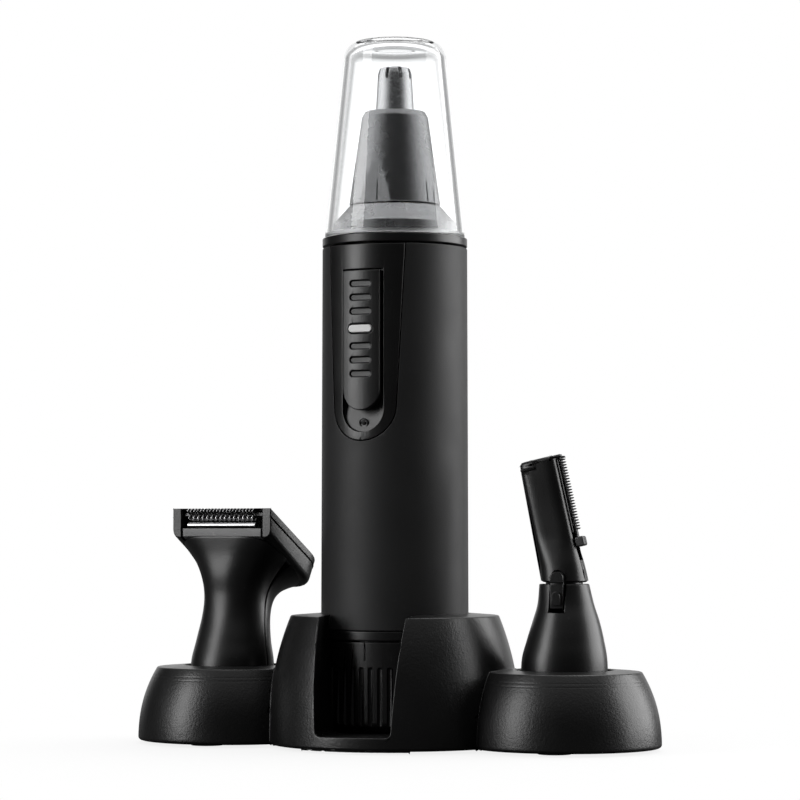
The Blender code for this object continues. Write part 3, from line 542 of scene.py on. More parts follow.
plasticLooks = {
    "satin_black": {},
    "stand_black": {"grain": 3000.0, "bump": 0.75, "roughLow": 0.32, "roughHigh": 0.39},
    "smoked_plastic": {
        "metal": 1.0,
        "colour": (0.20, 0.20, 0.203),
        "tint": (0.22, 0.22, 0.223),
        "worn": (0.3, 0.3, 0.3),
        "dust": (0.24, 0.24, 0.24),
        "wear": 0.1,
        "bump": 0.12,
        "roughLow": 0.24,
        "roughHigh": 0.30,
    },
    "soft_black": {
        "colour": (0.0085, 0.0085, 0.0090),
        "tint": (0.0115, 0.0115, 0.0120),
        "grain": 7000.0,
        "roughLow": 0.52,
        "roughHigh": 0.60,
        "bump": 0.30,
        "gloss": 0.42,
        "sheen": 0.06,
    },
    "grey_plastic": {
        "colour": (0.045, 0.045, 0.046),
        "tint": (0.065, 0.065, 0.067),
        "worn": (0.12, 0.12, 0.12),
        "dust": (0.10, 0.10, 0.10),
    },
    "white_plastic": {
        "colour": (0.74, 0.74, 0.73),
        "tint": (0.82, 0.82, 0.81),
        "worn": (0.86, 0.86, 0.85),
        "dust": (0.55, 0.55, 0.54),
        "roughLow": 0.28,
        "roughHigh": 0.36,
    },
    "foot_rubber": {
        "colour": (0.014, 0.014, 0.014),
        "tint": (0.024, 0.024, 0.023),
        "roughLow": 0.74,
        "roughHigh": 0.86,
        "gloss": 0.3,
        "bump": 0.4,
    },
    "cell_wrap": {
        "colour": (0.06, 0.13, 0.24),
        "tint": (0.09, 0.17, 0.30),
        "worn": (0.2, 0.26, 0.34),
        "dust": (0.2, 0.24, 0.3),
        "roughLow": 0.22,
        "roughHigh": 0.32,
        "bump": 0.08,
    },
}

plainMetal = {
    "colour": (0.42, 0.42, 0.43),
    "tint": (0.50, 0.50, 0.50),
    "streak": (1.0, 1.0, 1.5),
    "turn": (0.0, 0.0, 0.0),
    "fine": 2400.0,
    "roughLow": 0.22,
    "roughHigh": 0.28,
    "depth": 0.000001,
}

metalLooks = {
    "blade_steel": {},
    "bush_brass": {"colour": (0.58, 0.42, 0.20), "tint": (0.78, 0.60, 0.32)},
    "contact_copper": {"colour": (0.60, 0.36, 0.22), "tint": (0.80, 0.56, 0.38), "fine": 180.0},
}

clearLook = {
    "colour": (0.93, 0.94, 0.945),
    "tint": (0.97, 0.975, 0.98),
    "roughLow": 0.0,
    "roughHigh": 0.03,
    "bump": 0.02,
    "ior": 1.4,
    "rimZ": 0.1015,
    "rimRough": 0.35,
}

finishes = {name: plasticFinish(name, plainPlastic | look) for name, look in plasticLooks.items()}
finishes |= {name: metalFinish(name, plainMetal | look) for name, look in metalLooks.items()}
finishes["clear_cover"] = clearFinish("clear_cover", clearLook)
print("finishes made:", len(finishes))


# Stand

stand = {
    "spacing": 35.0,
    "low": 0.6,
    "wall": 2.4,
    "wellFloor": 3.2,
    "plateRoom": 2.7,
    "tubeWall": 1.6,
    "centre": {"base": 25.0, "rim": 20.6, "rimZ": 25.8, "topZ": 26.9, "well": 15.1},
    "side": {"base": 18.8, "rim": 15.0, "rimZ": 15.2, "topZ": 16.0, "well": 9.6},
    "curve": 2.4,
    "lipR": 0.45,
    "ringLines": (1.6, 2.3),
    "ringDepth": 0.014,
    "windowLow": 7.6,
    "windowTop": 9.1,
    "windowR": 1.2,
    "frameHalf": 11.0,
    "frameBack": -13.5,
    "edge": 0.26,
    "lipDepth": 2.9,
    "lipStep": 0.5,
}


def podWall(pod, height):
    return pod["base"] - (pod["base"] - pod["rim"]) * (height / pod["rimZ"]) ** stand["curve"]


def podTop(pod, radius):
    # height of the shallow cone at a radius
    inner = 0.3 * pod["rim"]
    return pod["topZ"] - (pod["topZ"] - pod["rimZ"]) * (radius - inner) / (pod["rim"] - inner)


def podShell(name, pod, lines=False):
    low = stand["low"]
    ceiling = pod["rimZ"] - stand["wall"] * 0.8
    heights = [low + 0.4 + (pod["rimZ"] - low - 0.4) * step / 22 for step in range(23)]
    rows = [(podWall(pod, low) - 0.4, low)]
    for height in heights[:-1]:
        rows.append((podWall(pod, height), height))
    if lines:
        for down in reversed(stand["ringLines"]):
            groove = [(0.09, 0), (0.04, stand["ringDepth"]), (-0.04, stand["ringDepth"]), (-0.09, 0)]
            for offset, depth in groove:
                height = pod["rimZ"] - down - offset
                rows.append((podWall(pod, height) - depth, height))
        rows[1:] = sorted(rows[1:], key=lambda row: row[1])
    well = pod["well"]
    lip = [rows[-1], (pod["rim"], pod["rimZ"]), (well, podTop(pod, well)), (well, stand["wellFloor"])]
    rows = rows[:-1] + fillet(lip, stand["lipR"], 5)
    tube = pod["well"] + stand["tubeWall"]
    rows += [(tube, stand["wellFloor"]), (tube, ceiling)]
    for step in range(12, -1, -1):
        height = low + (ceiling - low) * step / 12
        rows.append((podWall(pod, height) - stand["wall"], height))
    return drawUp(name, rows + rows[:1], 144)


def buildStand():
    spacing = stand["spacing"]
    shell = podShell("standBody", stand["centre"])
    for side in (-spacing, spacing):
        pod = podShell("sidePod", stand["side"], True)
        add(shell, moveBy(pod, Matrix.Translation((side, 0, 0))), "MANIFOLD")
    centre = stand["centre"]
    heights = [stand["low"] + (centre["rimZ"] - stand["low"]) * step / 12 for step in range(13)]
    rows = [(0, stand["low"])] + [(podWall(centre, height) - 0.3, height) for height in heights]
    well, floor = centre["well"], stand["wellFloor"]
    core = drawUp("windowFrame", rows + [(well, podTop(centre, well) - 0.3), (0, centre["rimZ"])], 96)
    half = stand["frameHalf"]
    keepInside(core, block("frameBlock", (-half, -30, 0), (half, stand["frameBack"], 40)), "MANIFOLD")
    cut(core, drawUp("well", [(0, floor), (well, floor), (well, 40), (0, 40)], 144), "MANIFOLD")
    add(shell, core, "MANIFOLD")
    for x, pod in ((0, centre), (-spacing, stand["side"]), (spacing, stand["side"])):
        inner = pod["base"] - stand["wall"] - 0.2
        high = stand["plateRoom"]
        room = drawUp("plateRoom", [(0, -1), (inner, -1), (inner, high), (0, high)], 96)
        moveBy(room, Matrix.Translation((x, 0, 0)))
        if x == 0:
            cut(room, block("frameFoot", (-half, -30, -2), (half, stand["frameBack"], 5)), "MANIFOLD")
        cut(shell, room, "MANIFOLD")
    low, high = stand["wellFloor"], centre["topZ"] + 3
    lowHalf, topHalf = stand["windowLow"], stand["windowTop"]
    corners = [(lowHalf, low), (topHalf, high, 0), (-topHalf, high, 0), (-lowHalf, low)]
    window = plate("window", fillet(corners, stand["windowR"], 6, closed=True), -30, -5, "Y")
    cut(shell, window, "MANIFOLD")

    # the opening steps out a little behind the wall, which draws a second line beside its edge
    step = stand["lipStep"]
    corners = [(x + math.copysign(step, x), z + (0 if z > low else 0.02), *rest) for x, z, *rest in corners]
    behind = plate("behindLip", fillet(corners, stand["windowR"], 6, closed=True), -30, -5, "Y")
    rows = [(podWall(centre, height) - stand["lipDepth"], height) for height in heights]
    rows = [(0, 0)] + rows + [(0, 26)]
    keepInside(behind, drawUp("innerWall", rows, 96), "MANIFOLD")
    cut(shell, behind, "MANIFOLD")
    mergeNear(shell, 0.16, lambda co: 6.5 < abs(co.x) < 10.5 and co.y < -10 and 4.6 < co.z < 25)
    roundEdges(shell, stand["edge"], 4, 40)
    finishPiece(shell, "stand", "stand_black", "stand_shell")
    print("stand made:", len(shell.data.polygons), "faces")


buildStand()


# Handle

handle = {
    "lowZ": 23.1,
    "topZ": 98.5,
    "lowR": 14.6,
    "topR": 14.4,
    "bore": 12.9,
    "panelTop": 8.5,
    "panelLow": 6.9,
    "panelZ": 59.9,
    "seam": 0.18,
    "slotHalf": 4.45,
    "slotLow": 61.7,
    "slotTop": 93.5,
    "slotFloor": -12.4,
    "rampTop": 67.2,
    "rampRise": 1.5,
    "sliderHalf": 3.95,
    "sliderLow": 65.9,
    "sliderTop": 93.2,
    "sliderR": 15.05,
    "grooves": (90.6, 87.9, 85.2, 78.4, 75.7, 73.0),
    "grooveHalf": 2.3,
    "grooveR": 0.6,
    "grooveDepth": 0.5,
    "markZ": 81.8,
    "edge": 0.14,
}


def buildBarrel():
    lowZ, topZ, bore = handle["lowZ"], handle["topZ"], handle["bore"]
    outside = []
    for step in range(9):
        share = step / 8
        radius = handle["lowR"] + (handle["topR"] - handle["lowR"]) * share
        outside.append((radius, lowZ + (topZ - lowZ) * share, 0.25 if step in (0, 8) else 0))
    barrel = turned("handleBarrel", outside + [(bore, topZ, 0), (bore, lowZ, 0)], steps=144)
    opening = slotOutline(handle["panelLow"], handle["panelTop"], handle["panelZ"], topZ + 2, 24)
    cut(barrel, plate("panelOpening", opening, -20, -8, "Y"))
    roundEdges(barrel, handle["edge"], 2, 40)
    finishPiece(barrel, "handle", "soft_black", "barrel", place=handlePlace)


def buildPanel():
    seam = handle["seam"]
    topZ = handle["topZ"]
    outer = handle["topR"] + 0.05
    rows = [(outer, 50, 0), (outer, topZ - 0.1), (11.2, topZ - 0.1, 0), (11.2, 50, 0)]
    panel = turned("switchPanel", rows, steps=144)
    lowHalf, topHalf = handle["panelLow"] - seam, handle["panelTop"] - seam
    inset = slotOutline(lowHalf, topHalf, handle["panelZ"] + seam, topZ + 2, 24)
    keepInside(panel, plate("panelOutline", inset, -20, -8, "Y"))
    floor = handle["slotFloor"]
    half, rampTop = handle["slotHalf"], handle["rampTop"]
    outline = slotOutline(half, half, handle["slotLow"], handle["slotTop"], 20)
    slot = plate("slot", outline, -20, floor, "Y")
    ramp = [(floor + 1, rampTop), (floor, rampTop), (floor - handle["rampRise"], 60), (floor + 1, 60)]
    cut(slot, plate("ramp", ramp, -10, 10, "X"))
    cut(panel, slot)
    cut(panel, block("pegSlot", (-1.5, -14, 73.4), (1.5, -8, 82.8)))
    roundEdges(panel, handle["edge"], 2, 40)
    finishPiece(panel, "handle", "satin_black", "switch_panel", place=handlePlace)

    # a plain raised dot in a ring on the ramp shows which way is on
    dot = drawUp("onDot", fillet([(0, 0), (0.42, 0), (0.42, 0.22), (0, 0.22)], 0.08, 3), 24)
    ring = turned("onRing", [(0.72, 0), (0.98, 0), (0.98, 0.22), (0.72, 0.22)], 0.08, 32, 2)
    mark = joinAll([ring, dot])
    mark.name = "onMark"
    rise = math.atan2(handle["rampTop"] - 60, handle["rampRise"])
    spot = Matrix.Translation((0, floor - 0.86, 63.5)) @ Matrix.Rotation(math.pi - rise, 4, "X")
    mark.matrix_world = spot @ mark.matrix_world
    finishPiece(mark, "handle", "satin_black", place=handlePlace)


def buildSlider():
    half = handle["sliderHalf"]
    floor = handle["slotFloor"] - 0.3
    outline = slotOutline(half, half, handle["sliderLow"], handle["sliderTop"], 20)
    slider = plate("sliderButton", outline, -16, floor, "Y")
    radius = handle["sliderR"]
    keepInside(slider, drawUp("front", [(0, 60), (radius, 60), (radius, 100), (0, 100)], 144))
    tools = []
    for height in handle["grooves"]:
        outline = pillOutline(handle["grooveHalf"], handle["grooveR"], height)
        tools.append(plate("groove", outline, -17, handle["grooveDepth"] - radius, "Y"))
    tools.append(plate("markPocket", pillOutline(2.7, 1.0, handle["markZ"]), -17, -14.3, "Y"))
    cut(slider, joinAll(tools))
    roundEdges(slider, 0.2, 3, 40)
    peg = block("peg", (-1, -12.75, 78), (1, -9.9, 82))
    slider = joinAll([slider, roundEdges(peg, 0.15, 2)])
    finishPiece(slider, "switch", "satin_black", "switch_slider", place=handlePlace)
    mark = plate("sliderMark", pillOutline(2.5, 0.72, handle["markZ"], 10), -15.1, -14.3, "Y")
    roundEdges(mark, 0.14, 3)
    finishPiece(mark, "switch", "white_plastic", "switch_mark", place=handlePlace)


def buildHandleEnds():
    collar = turned(
        "handleCollar",
        [
            (14.4, 98.8),
            (14.4, 100.5),
            (9.2, 100.5),
            (9.2, 93.9),
            (4.8, 93.9),
            (4.8, 92.9),
            (10.5, 92.9),
            (10.5, 98.8, 0),
        ],
        0.22,
        144,
    )
    finishPiece(collar, "handle", "satin_black", "collar", place=handlePlace)
    base = turned(
        "handleBaseRing",
        [
            (12.6, 27.0),
            (12.6, 23.0),
            (14.5, 23.0),
            (14.5, 21.2),
            (12.6, 21.2, 0),
            (12.6, 18.1),
            (11.95, 18.1, 0),
            (11.95, 16.9, 0),
            (12.6, 16.9),
            (12.6, 15.2),
            (11.2, 15.2),
            (11.2, 27.0),
        ],
        0.22,
        144,
    )
    finishPiece(base, "handle", "satin_black", "base_ring", place=handlePlace)


cap = {"lowZ": 3.5, "topZ": 20.9, "radius": 14.3, "ribs": 47, "ribTop": 15.6, "ribR": 0.52, "tickZ": 18.6}


def buildCap():
    lowZ, topZ, radius = cap["lowZ"], cap["topZ"], cap["radius"]
    rows = [
        (0, lowZ),
        (12.6, lowZ, 0.5),
        (radius, lowZ + 1.5, 1.2),
        (radius, topZ),
        (13, topZ),
        (13, lowZ + 1.4),
        (0, lowZ + 1.4),
    ]
    shell = drawUp("batteryCap", fillet(rows, 0.2), 144)
    ribR, ribTop = cap["ribR"], cap["ribTop"]
    rounded = [(ribR * math.cos(angle), ribTop + ribR * math.sin(angle)) for angle in (0.5, 1.0)]
    groove = drawUp("groove", [(0, 1), (ribR, 1), (ribR, ribTop)] + rounded + [(0, ribTop + ribR)], 12)
    moveBy(groove, Matrix.Translation((0, -radius - 0.1, 0)))
    cut(shell, ringOf(groove, cap["ribs"]))
    tick = block("tick", (-0.12, -radius - 1, cap["tickZ"] - 1.2), (0.12, 0.18 - radius, topZ + 1))
    moveBy(tick, Matrix.Rotation(math.radians(3), 4, "Z"))
    cut(shell, tick)
    roundEdges(shell, 0.1, 2, 40)
    finishPiece(shell, "battery_cap", "satin_black", "battery_cap", place=handlePlace)


buildBarrel()
buildPanel()
buildSlider()
buildHandleEnds()
buildCap()
print("handle made")


# Nose head and cover

nose = {
    "flange": 12.3,
    "flangeLow": 100.8,
    "flangeTop": 103.3,
    "spigot": 8.3,
    "bore": 7.0,
    "coneLow": (9.1, 107.1),
    "coneTop": (6.6, 124.7),
    "tubeLow": 3.8,
    "tubeTop": 3.35,
    "tubeTopZ": 134.8,
    "slots": 8,
    "slotHalf": 0.33,
    "slotDeep": 2.2,
    "wall": 0.6,
}


def buildNoseHead():
    flange, low, top = nose["flange"], nose["flangeLow"], nose["flangeTop"]
    flare = []
    for step in range(9):
        share = step / 8
        flare.append((flange - 0.25 - 2.65 * share, top + 0.15 + 3.1 * share, 0))
    points = [(nose["spigot"], 95.2), (nose["spigot"], low), (flange, low), (flange, top)] + flare
    points += [(9.15, 106.8), (nose["bore"], 106.8), (nose["bore"], 95.2)]
    base = turned("noseBase", points, 0.2, 144)
    ticks = []
    for x, wide, high in ((-2.6, 0.7, 0.12), (-4.0, 0.14, 0.14), (-5.0, 0.14, 0.14)):
        ticks.append(block("tick", (x - wide, -flange - 1, 102.0 - high), (x + wide, -11.15, 102.0 + high)))
    cut(base, joinAll(ticks))
    finishPiece(base, "nose_head", "smoked_plastic", "nose_head_base", place=handlePlace)

    lowR, lowZ = nose["coneLow"]
    topR, topZ = nose["coneTop"]
    points = [(lowR, lowZ)]
    for step in range(1, 8):
        share = step / 8
        points.append((lowR + (topR - lowR) * share, lowZ + (topZ - lowZ) * share, 0))
    points += [(topR, topZ, 0.5), (topR - 0.6, 125.75, 0.3), (4.15, 126), (4.15, 121)]
    points += [(5.3, 120.6, 0), (7.2, lowZ)]
    cone = turned("noseCone", points, 0.2, 144, 4)
    facet = block("facet", (-6, -6, -12), (6, 0, 14))
    facet.matrix_world = Matrix.Translation((0, -8.5, lowZ)) @ Matrix.Rotation(math.radians(-3.6), 4, "X")
    cut(cone, facet)
    lines = []
    for turn, tall, radius, lean in ((3, 4.1, 8.5, 3.6), (72, 4.0, 9.1, 8.1), (85, 2.8, 9.1, 8.1)):
        line = block("line", (-0.12, -1, 0.3), (0.12, 0.2, 0.3 + tall))
        moveBy(line, Matrix.Translation((0, -radius, lowZ)) @ Matrix.Rotation(math.radians(-lean), 4, "X"))
        lines.append(moveBy(line, Matrix.Rotation(math.radians(turn), 4, "Z")))
    cut(cone, joinAll(lines))
    roundEdges(cone, 0.06, 2, 40)
    finishPiece(cone, "nose_head", "smoked_plastic", "nose_head_cone", place=handlePlace)


def buildTube():
    lowR, topR, top, wall = nose["tubeLow"], nose["tubeTop"], nose["tubeTopZ"], nose["wall"]
    rows = [
        (0, top),
        (1.9, top, 0.3),
        (topR - 0.35, top - 0.25, 0.5),
        (topR, top - 1.3, 0.6),
        (lowR, 126, 0),
        (lowR, 120.3, 0),
        (4.9, 120.3, 0),
        (4.9, 119.2, 0),
        (lowR - wall, 119.2, 0),
        (lowR - wall, 126, 0),
        (topR - wall, top - wall, 0.2),
        (0, top - wall),
    ]
    tube = drawUp("outerCutter", fillet(rows, 0.2, 5), 96)
    slot = block("slot", (1.3, -nose["slotHalf"], top - nose["slotDeep"]), (5, nose["slotHalf"], top + 1))
    foot = drawUp("slotFoot", [(0, 0), (nose["slotHalf"], 0), (nose["slotHalf"], 4), (0, 4)], 16)
    acrossWall = Matrix.Rotation(math.pi / 2, 4, "Y")
    foot.matrix_world = Matrix.Translation((1.3, 0, top - nose["slotDeep"])) @ acrossWall
    add(slot, foot)
    cut(tube, ringOf(slot, nose["slots"]))
    roundEdges(tube, 0.07, 2, 40)
    finishPiece(tube, "nose_head", "blade_steel", "outer_cutter", place=handlePlace)

    rows = [(0, 127.9), (2.1, 127.9), (2.1, 130.4), (0.9, 131.2), (0.9, 133.8), (0, 133.8)]
    core = drawUp("innerCutter", fillet(rows, 0.25, 3), 48)
    blade = block("blade", (-2.45, -0.16, 129.0), (2.45, 0.16, 133.8))
    roundEdges(blade, 0.05, 1)
    add(core, copyOf(blade, Matrix.Rotation(math.pi / 2, 4, "Z")))
    add(core, blade)
    finishPiece(core, "nose_cutter", "blade_steel", "inner_cutter", place=handlePlace)


cover = {
    "lowZ": 100.8,
    "topZ": 140.0,
    "lowR": 13.9,
    "topR": 10.15,
    "cornerR": 3.4,
    "wall": 1.25,
    "crown": 1.6,
    "wallSteps": (0.03, 0.1, 0.25, 0.4, 0.55, 0.7, 0.85, 0.97),
}


def buildCover():
    lowZ, topZ, lowR = cover["lowZ"], cover["topZ"], cover["lowR"]
    corner, wall = cover["cornerR"], cover["wall"]
    slope = (lowR - cover["topR"]) / (topZ - corner - lowZ)
    centreR = cover["topR"] + slope * 0.5 - corner
    centreZ = topZ - corner
    rows = [(0, topZ - 0.3), (3.3, topZ - 0.28), (3.7, topZ - 0.06), (4.3, topZ)]
    for step in range(13):
        angle = math.pi / 2 * (1 - step / 12)
        rows.append((centreR + corner * math.cos(angle), centreZ + corner * math.sin(angle)))
    for step in range(1, 9):
        share = step / 8
        radius = centreR + corner + (lowR - centreR - corner) * share
        rows.append((radius, centreZ + (lowZ - centreZ) * share))
    rows[-1] = (lowR - 0.05, lowZ + 0.8)
    rows.append((lowR, lowZ + 0.25))
    rows += [(lowR - 0.1, lowZ + 0.06), (lowR - 0.25, lowZ)]
    rows += [(lowR - wall + 0.15, lowZ), (lowR - wall, lowZ + 0.15)]
    inner = corner - wall
    innerZ = topZ - cover["crown"] - inner
    for share in cover["wallSteps"]:
        rows.append((lowR - wall + (centreR + inner - lowR + wall) * share, lowZ + (innerZ - lowZ) * share))
    for step in range(13):
        angle = math.pi / 2 * step / 12
        rows.append((centreR + inner * math.cos(angle), innerZ + inner * math.sin(angle)))
    rows += [(0, topZ - cover["crown"] + 0.1)]
    shell = drawUp("clearCover", rows, 144)
    finishPiece(shell, "dust_cover", "clear_cover", "dust_cover", place=handlePlace, angle=60)


buildNoseHead()
buildTube()
buildCover()
print("nose head and cover made")


# Shaver head

# height, rear offset, half width, half depth, tilt, squareness
shaverNeck = (
    (3.7, 0.0, 8.3, 8.3, 0, 2.0),
    (10.0, 0.1, 8.33, 8.33, 0, 2.0),
    (16.0, 0.2, 8.35, 8.35, 0, 2.0),
    (20.5, 0.6, 7.6, 7.4, 0, 2.0),
    (25.0, 1.5, 6.9, 6.6, 3, 2.1),
    (28.5, 2.4, 6.6, 6.9, 8, 2.3),
    (31.3, 3.2, 7.1, 8.1, 15, 2.5),
    (33.9, 3.9, 8.7, 9.2, 24, 3.0),
    (36.15, 4.3, 11.0, 10.4, 30, 4.0),
)

shaver = {
    "neckWall": 1.7,
    "seam": 0.7,
    "half": 11.75,
    "length": 23.2,
    "thick": 5.0,
    "frontR": 1.2,
    "rearR": 5.5,
    "chamfer": 1.3,
    "mouthHalf": 9.7,
    "mouthDeep": 5.0,
    "combTeeth": 21,
    "combPitch": 0.78,
    "tipPitch": 1.08,
    "tips": 15,
}


def neckPoint(angle, share):
    height, rear, halfX, halfY, tilt, power = rowAt(shaverNeck, share)
    x, y = ovalPoint(halfX, halfY, power, angle)
    lean = math.radians(tilt)
    return x, rear + y * math.cos(lean), height - y * math.sin(lean)


def buildNeck():
    seam = math.radians(shaver["seam"])
    shells = (("shaverNeckFront", "shaver_neck_front", math.pi), ("shaverNeckRear", "shaver_neck_rear", 0))
    for name, node, first in shells:
        shell = wrapGrid(name, 56, 72, lambda u, v: neckPoint(first + seam + (math.pi - 2 * seam) * u, v))
        useModifier(shell, "SOLIDIFY", thickness=shaver["neckWall"], offset=-1)
        roundEdges(shell, 0.12, 2, 50)
        finishPiece(shell, "shaver_head", "satin_black", node, place=shaverPlace, angle=40)


def roundedSlab(name, half, front, rear, frontR, rearR, low, high):
    corners = [(half, front, frontR), (half, rear, rearR), (-half, rear, rearR), (-half, front, frontR)]
    return plate(name, fillet(corners, 1, 8, closed=True), low, high)


def buildSlab():
    half, thick = shaver["half"], shaver["thick"]
    frontR, rearR = shaver["frontR"], shaver["rearR"]
    slab = roundedSlab("shaverFrame", half, -1, shaver["length"], frontR, rearR, -thick, 0)
    pickOnly(slab)
    bpy.ops.object.mode_set(mode="EDIT")
    bpy.ops.mesh.select_mode(type="EDGE")
    bpy.ops.mesh.select_all(action="DESELECT")
    bpy.ops.object.mode_set(mode="OBJECT")
    for edge in slab.data.edges:
        edge.select = all(slab.data.vertices[i].co.z < 0.01 - thick for i in edge.vertices)
    bpy.ops.object.mode_set(mode="EDIT")
    bpy.ops.mesh.bevel(offset=shaver["chamfer"], segments=3, profile=0.5, affect="EDGES", clamp_overlap=False)
    bpy.ops.object.mode_set(mode="OBJECT")
    for vertex in slab.data.vertices:
        if vertex.co.z < -1:
            vertex.co.z -= 0.035 * max(vertex.co.y, 0)
    # the front face stands upright although the slab leans back
    lean = math.radians(30)
    trimPast(slab, (0, 0.05, 0), (0, -math.cos(lean), -math.sin(lean)))
    mouth = shaver["mouthHalf"]
    cut(slab, block("mouth", (-mouth, -3, -8), (mouth, shaver["mouthDeep"], 1)))
    cut(slab, block("crankRoom", (-5.5, 4, -8), (5.5, 10.5, -1.2)))
    groove = roundedSlab("partingGroove", half + 1, -2, shaver["length"] + 1, 1, 6, -1.62, -1.5)
    inner = roundedSlab("partingInner", half - 0.1, -3, shaver["length"] - 0.1, 1, 5.4, -3, 0)
    cut(groove, inner)
    cut(slab, groove)
    roundEdges(slab, 0.2, 3, 30)
    finishPiece(slab, "shaver_head", "satin_black", "shaver_frame", place=slabPlace)


def toothRow(name, count, pitch, half, front, root, back, low, high, edge):
    # a plate with teeth along its front
    teeth = [block(name, (-half - 0.2, root, low), (half + 0.2, back, high))]
    for index in range(count):
        x = (index - (count - 1) / 2) * pitch
        tooth = [
            (x - pitch * 0.25, root + 0.2),
            (x - pitch * 0.2, front + 0.1),
            (x, front),
            (x + pitch * 0.2, front + 0.1),
            (x + pitch * 0.25, root + 0.2),
        ]
        teeth.append(plate("tooth", tooth, low, high))
    row = joinAll(teeth)
    roundEdges(row, edge, 1, 30)
    return row


def buildShaverBlades():
    mouth = shaver["mouthHalf"]
    count, pitch = shaver["combTeeth"], shaver["combPitch"]
    comb = toothRow("shaverComb", count, pitch, mouth - 0.5, -0.25, 1.5, 4.7, -0.95, -0.2, 0.05)
    finishPiece(comb, "shaver_head", "blade_steel", "shaver_comb", place=slabPlace)
    count, pitch = shaver["tips"], shaver["tipPitch"]
    tips = toothRow("shaverBlade", count, pitch, 7.7, 0.55, 1.6, 4.2, -2.05, -1.35, 0.08)
    finishPiece(tips, "shaver_blade", "blade_steel", "shaver_moving_blade", place=slabPlace)
    corners = [(1.5, -3.3), (2.6, -3.3), (2.6, -2.3), (1.5, -2.3)]
    bar = plate("guardBar", fillet(corners, 0.45, 5, closed=True), -8.2, 8.2, "X")
    roundEdges(bar, 0.2, 3, 50)
    finishPiece(bar, "shaver_head", "blade_steel", "shaver_guard_bar", place=slabPlace)
    lean = math.radians(30)
    holder = block("bladeHolder", (-9.4, 1, -4.95), (9.4, 4.6, -3.5))
    trimPast(holder, (0, 0.1, 0), (0, -math.cos(lean), -math.sin(lean)))
    roundEdges(holder, 0.12, 2, 30)
    finishPiece(holder, "shaver_head", "grey_plastic", "shaver_blade_holder", place=slabPlace)


buildNeck()
buildSlab()
buildShaverBlades()
print("shaver head made")


# Brow head

# height, sideways offset, half width, half depth, squareness
browBase = (
    (3.7, 0.0, 8.35, 8.35, 2.0),
    (10.0, 0.0, 8.35, 8.35, 2.0),
    (17.0, 0.0, 8.35, 8.35, 2.0),
    (21.3, 0.2, 7.5, 7.5, 2.0),
    (25.0, 0.35, 6.5, 6.4, 2.0),
    (28.3, 0.3, 5.5, 5.3, 2.0),
    (32.2, 0.0, 4.8, 4.5, 2.2),
)
browArm = (
    (32.5, 0.15, 4.6, 4.4, 2.2),
    (36.0, -0.4, 4.3, 3.8, 2.4),
    (39.5, -1.3, 4.05, 3.0, 3.0),
    (42.4, -1.95, 3.85, 2.6, 4.0),
    (50.7, -3.82, 3.82, 2.5, 4.0),
    (59.0, -5.7, 3.8, 2.4, 4.0),
)

brow = {
    "wall": 1.7,
    "frontSplit": -1.2,
    "rearSplit": -1.0,
    "latchLow": 26.7,
    "latchTop": 34.9,
    "latchHalf": 1.6,
    "tip": 24.0,
    "tipR": 0.8,
    "edgeX": 3.7,
    "combTeeth": 27,
    "combPitch": 0.55,
}


def archOutline(half, low, high, steps=12):
    outline = []
    for step in range(steps + 1):
        angle = math.pi * step / steps
        outline.append((half * math.cos(angle), high - half + half * math.sin(angle)))
    return outline + [(-half, low), (half, low)]


def tallBody(name, rows, shrink=0.0):
    def place(u, v):
        height, side, halfX, halfY, power = rowAt(rows, v)
        x, y = ovalPoint(halfX - shrink, halfY - shrink, power, math.tau * u)
        return side + x, y, height

    return wrapGrid(name, 96, 48, place, closed=True, caps=True)


def buildBrowBody():
    base = tallBody("browBase", browBase)
    hollow = tallBody("hollow", browBase, brow["wall"])
    stretch = Matrix.Diagonal((1, 1, 1.08, 1))
    hollow.matrix_world = Matrix.Translation((0, 0, -1.2)) @ stretch @ hollow.matrix_world
    cut(base, hollow)
    half = brow["latchHalf"]
    cut(base, plate("latchRoom", archOutline(half, brow["latchLow"], brow["latchTop"]), -9, -3.5, "Y"))
    roundEdges(base, 0.15, 2, 40)
    finishPiece(base, "brow_head", "satin_black", "brow_base", place=browPlace)

    lean = Matrix.Translation((0.2, 0, 33)) @ Matrix.Rotation(math.radians(-12.8), 4, "Y")
    tip = lean @ Vector((0, 0, brow["tip"]))
    away = lean.to_3x3() @ Vector((0, 0, 1))
    front = trimPast(tallBody("browArmFront", browArm), tip, away)
    roundEdges(front, brow["tipR"], 5, 60)
    trimPast(front, (0, brow["frontSplit"], 0), (0, 1, 0))
    arch = archOutline(half, brow["latchLow"], brow["latchTop"])
    cut(front, plate("latchArch", arch, -9, -3.2, "Y"), "MANIFOLD")
    ridge = plate("ridge", pillOutline(1.5, 0.3, 22.4), -2.72, -2, "Y")
    roundEdges(ridge, 0.12, 2, 50)
    add(front, moveBy(ridge, lean @ Matrix.Translation((-1.9, 0, 0))), "MANIFOLD")
    roundEdges(front, 0.12, 2, 50)
    finishPiece(front, "brow_head", "satin_black", "brow_arm_front", place=browPlace)

    rear = trimPast(tallBody("browArmRear", browArm), tip, away)
    roundEdges(rear, brow["tipR"], 5, 60)
    trimPast(rear, (0, brow["rearSplit"], 0), (0, -1, 0))
    add(rear, drawUp("spigot", [(0, 31.2), (3.6, 31.2), (3.6, 33), (0, 33)], 48), "MANIFOLD")
    pocket = block("bladePocket", (-2.3, -3, 3), (9, 1.3, 23.6))
    cut(rear, moveBy(pocket, lean), "MANIFOLD")
    cut(rear, drawUp("pinBore", [(0, 30), (1.6, 30), (1.6, 37), (0, 37)], 24), "MANIFOLD")
    roundEdges(rear, 0.12, 2, 40)
    finishPiece(rear, "brow_head", "satin_black", "brow_arm_rear", place=browPlace)


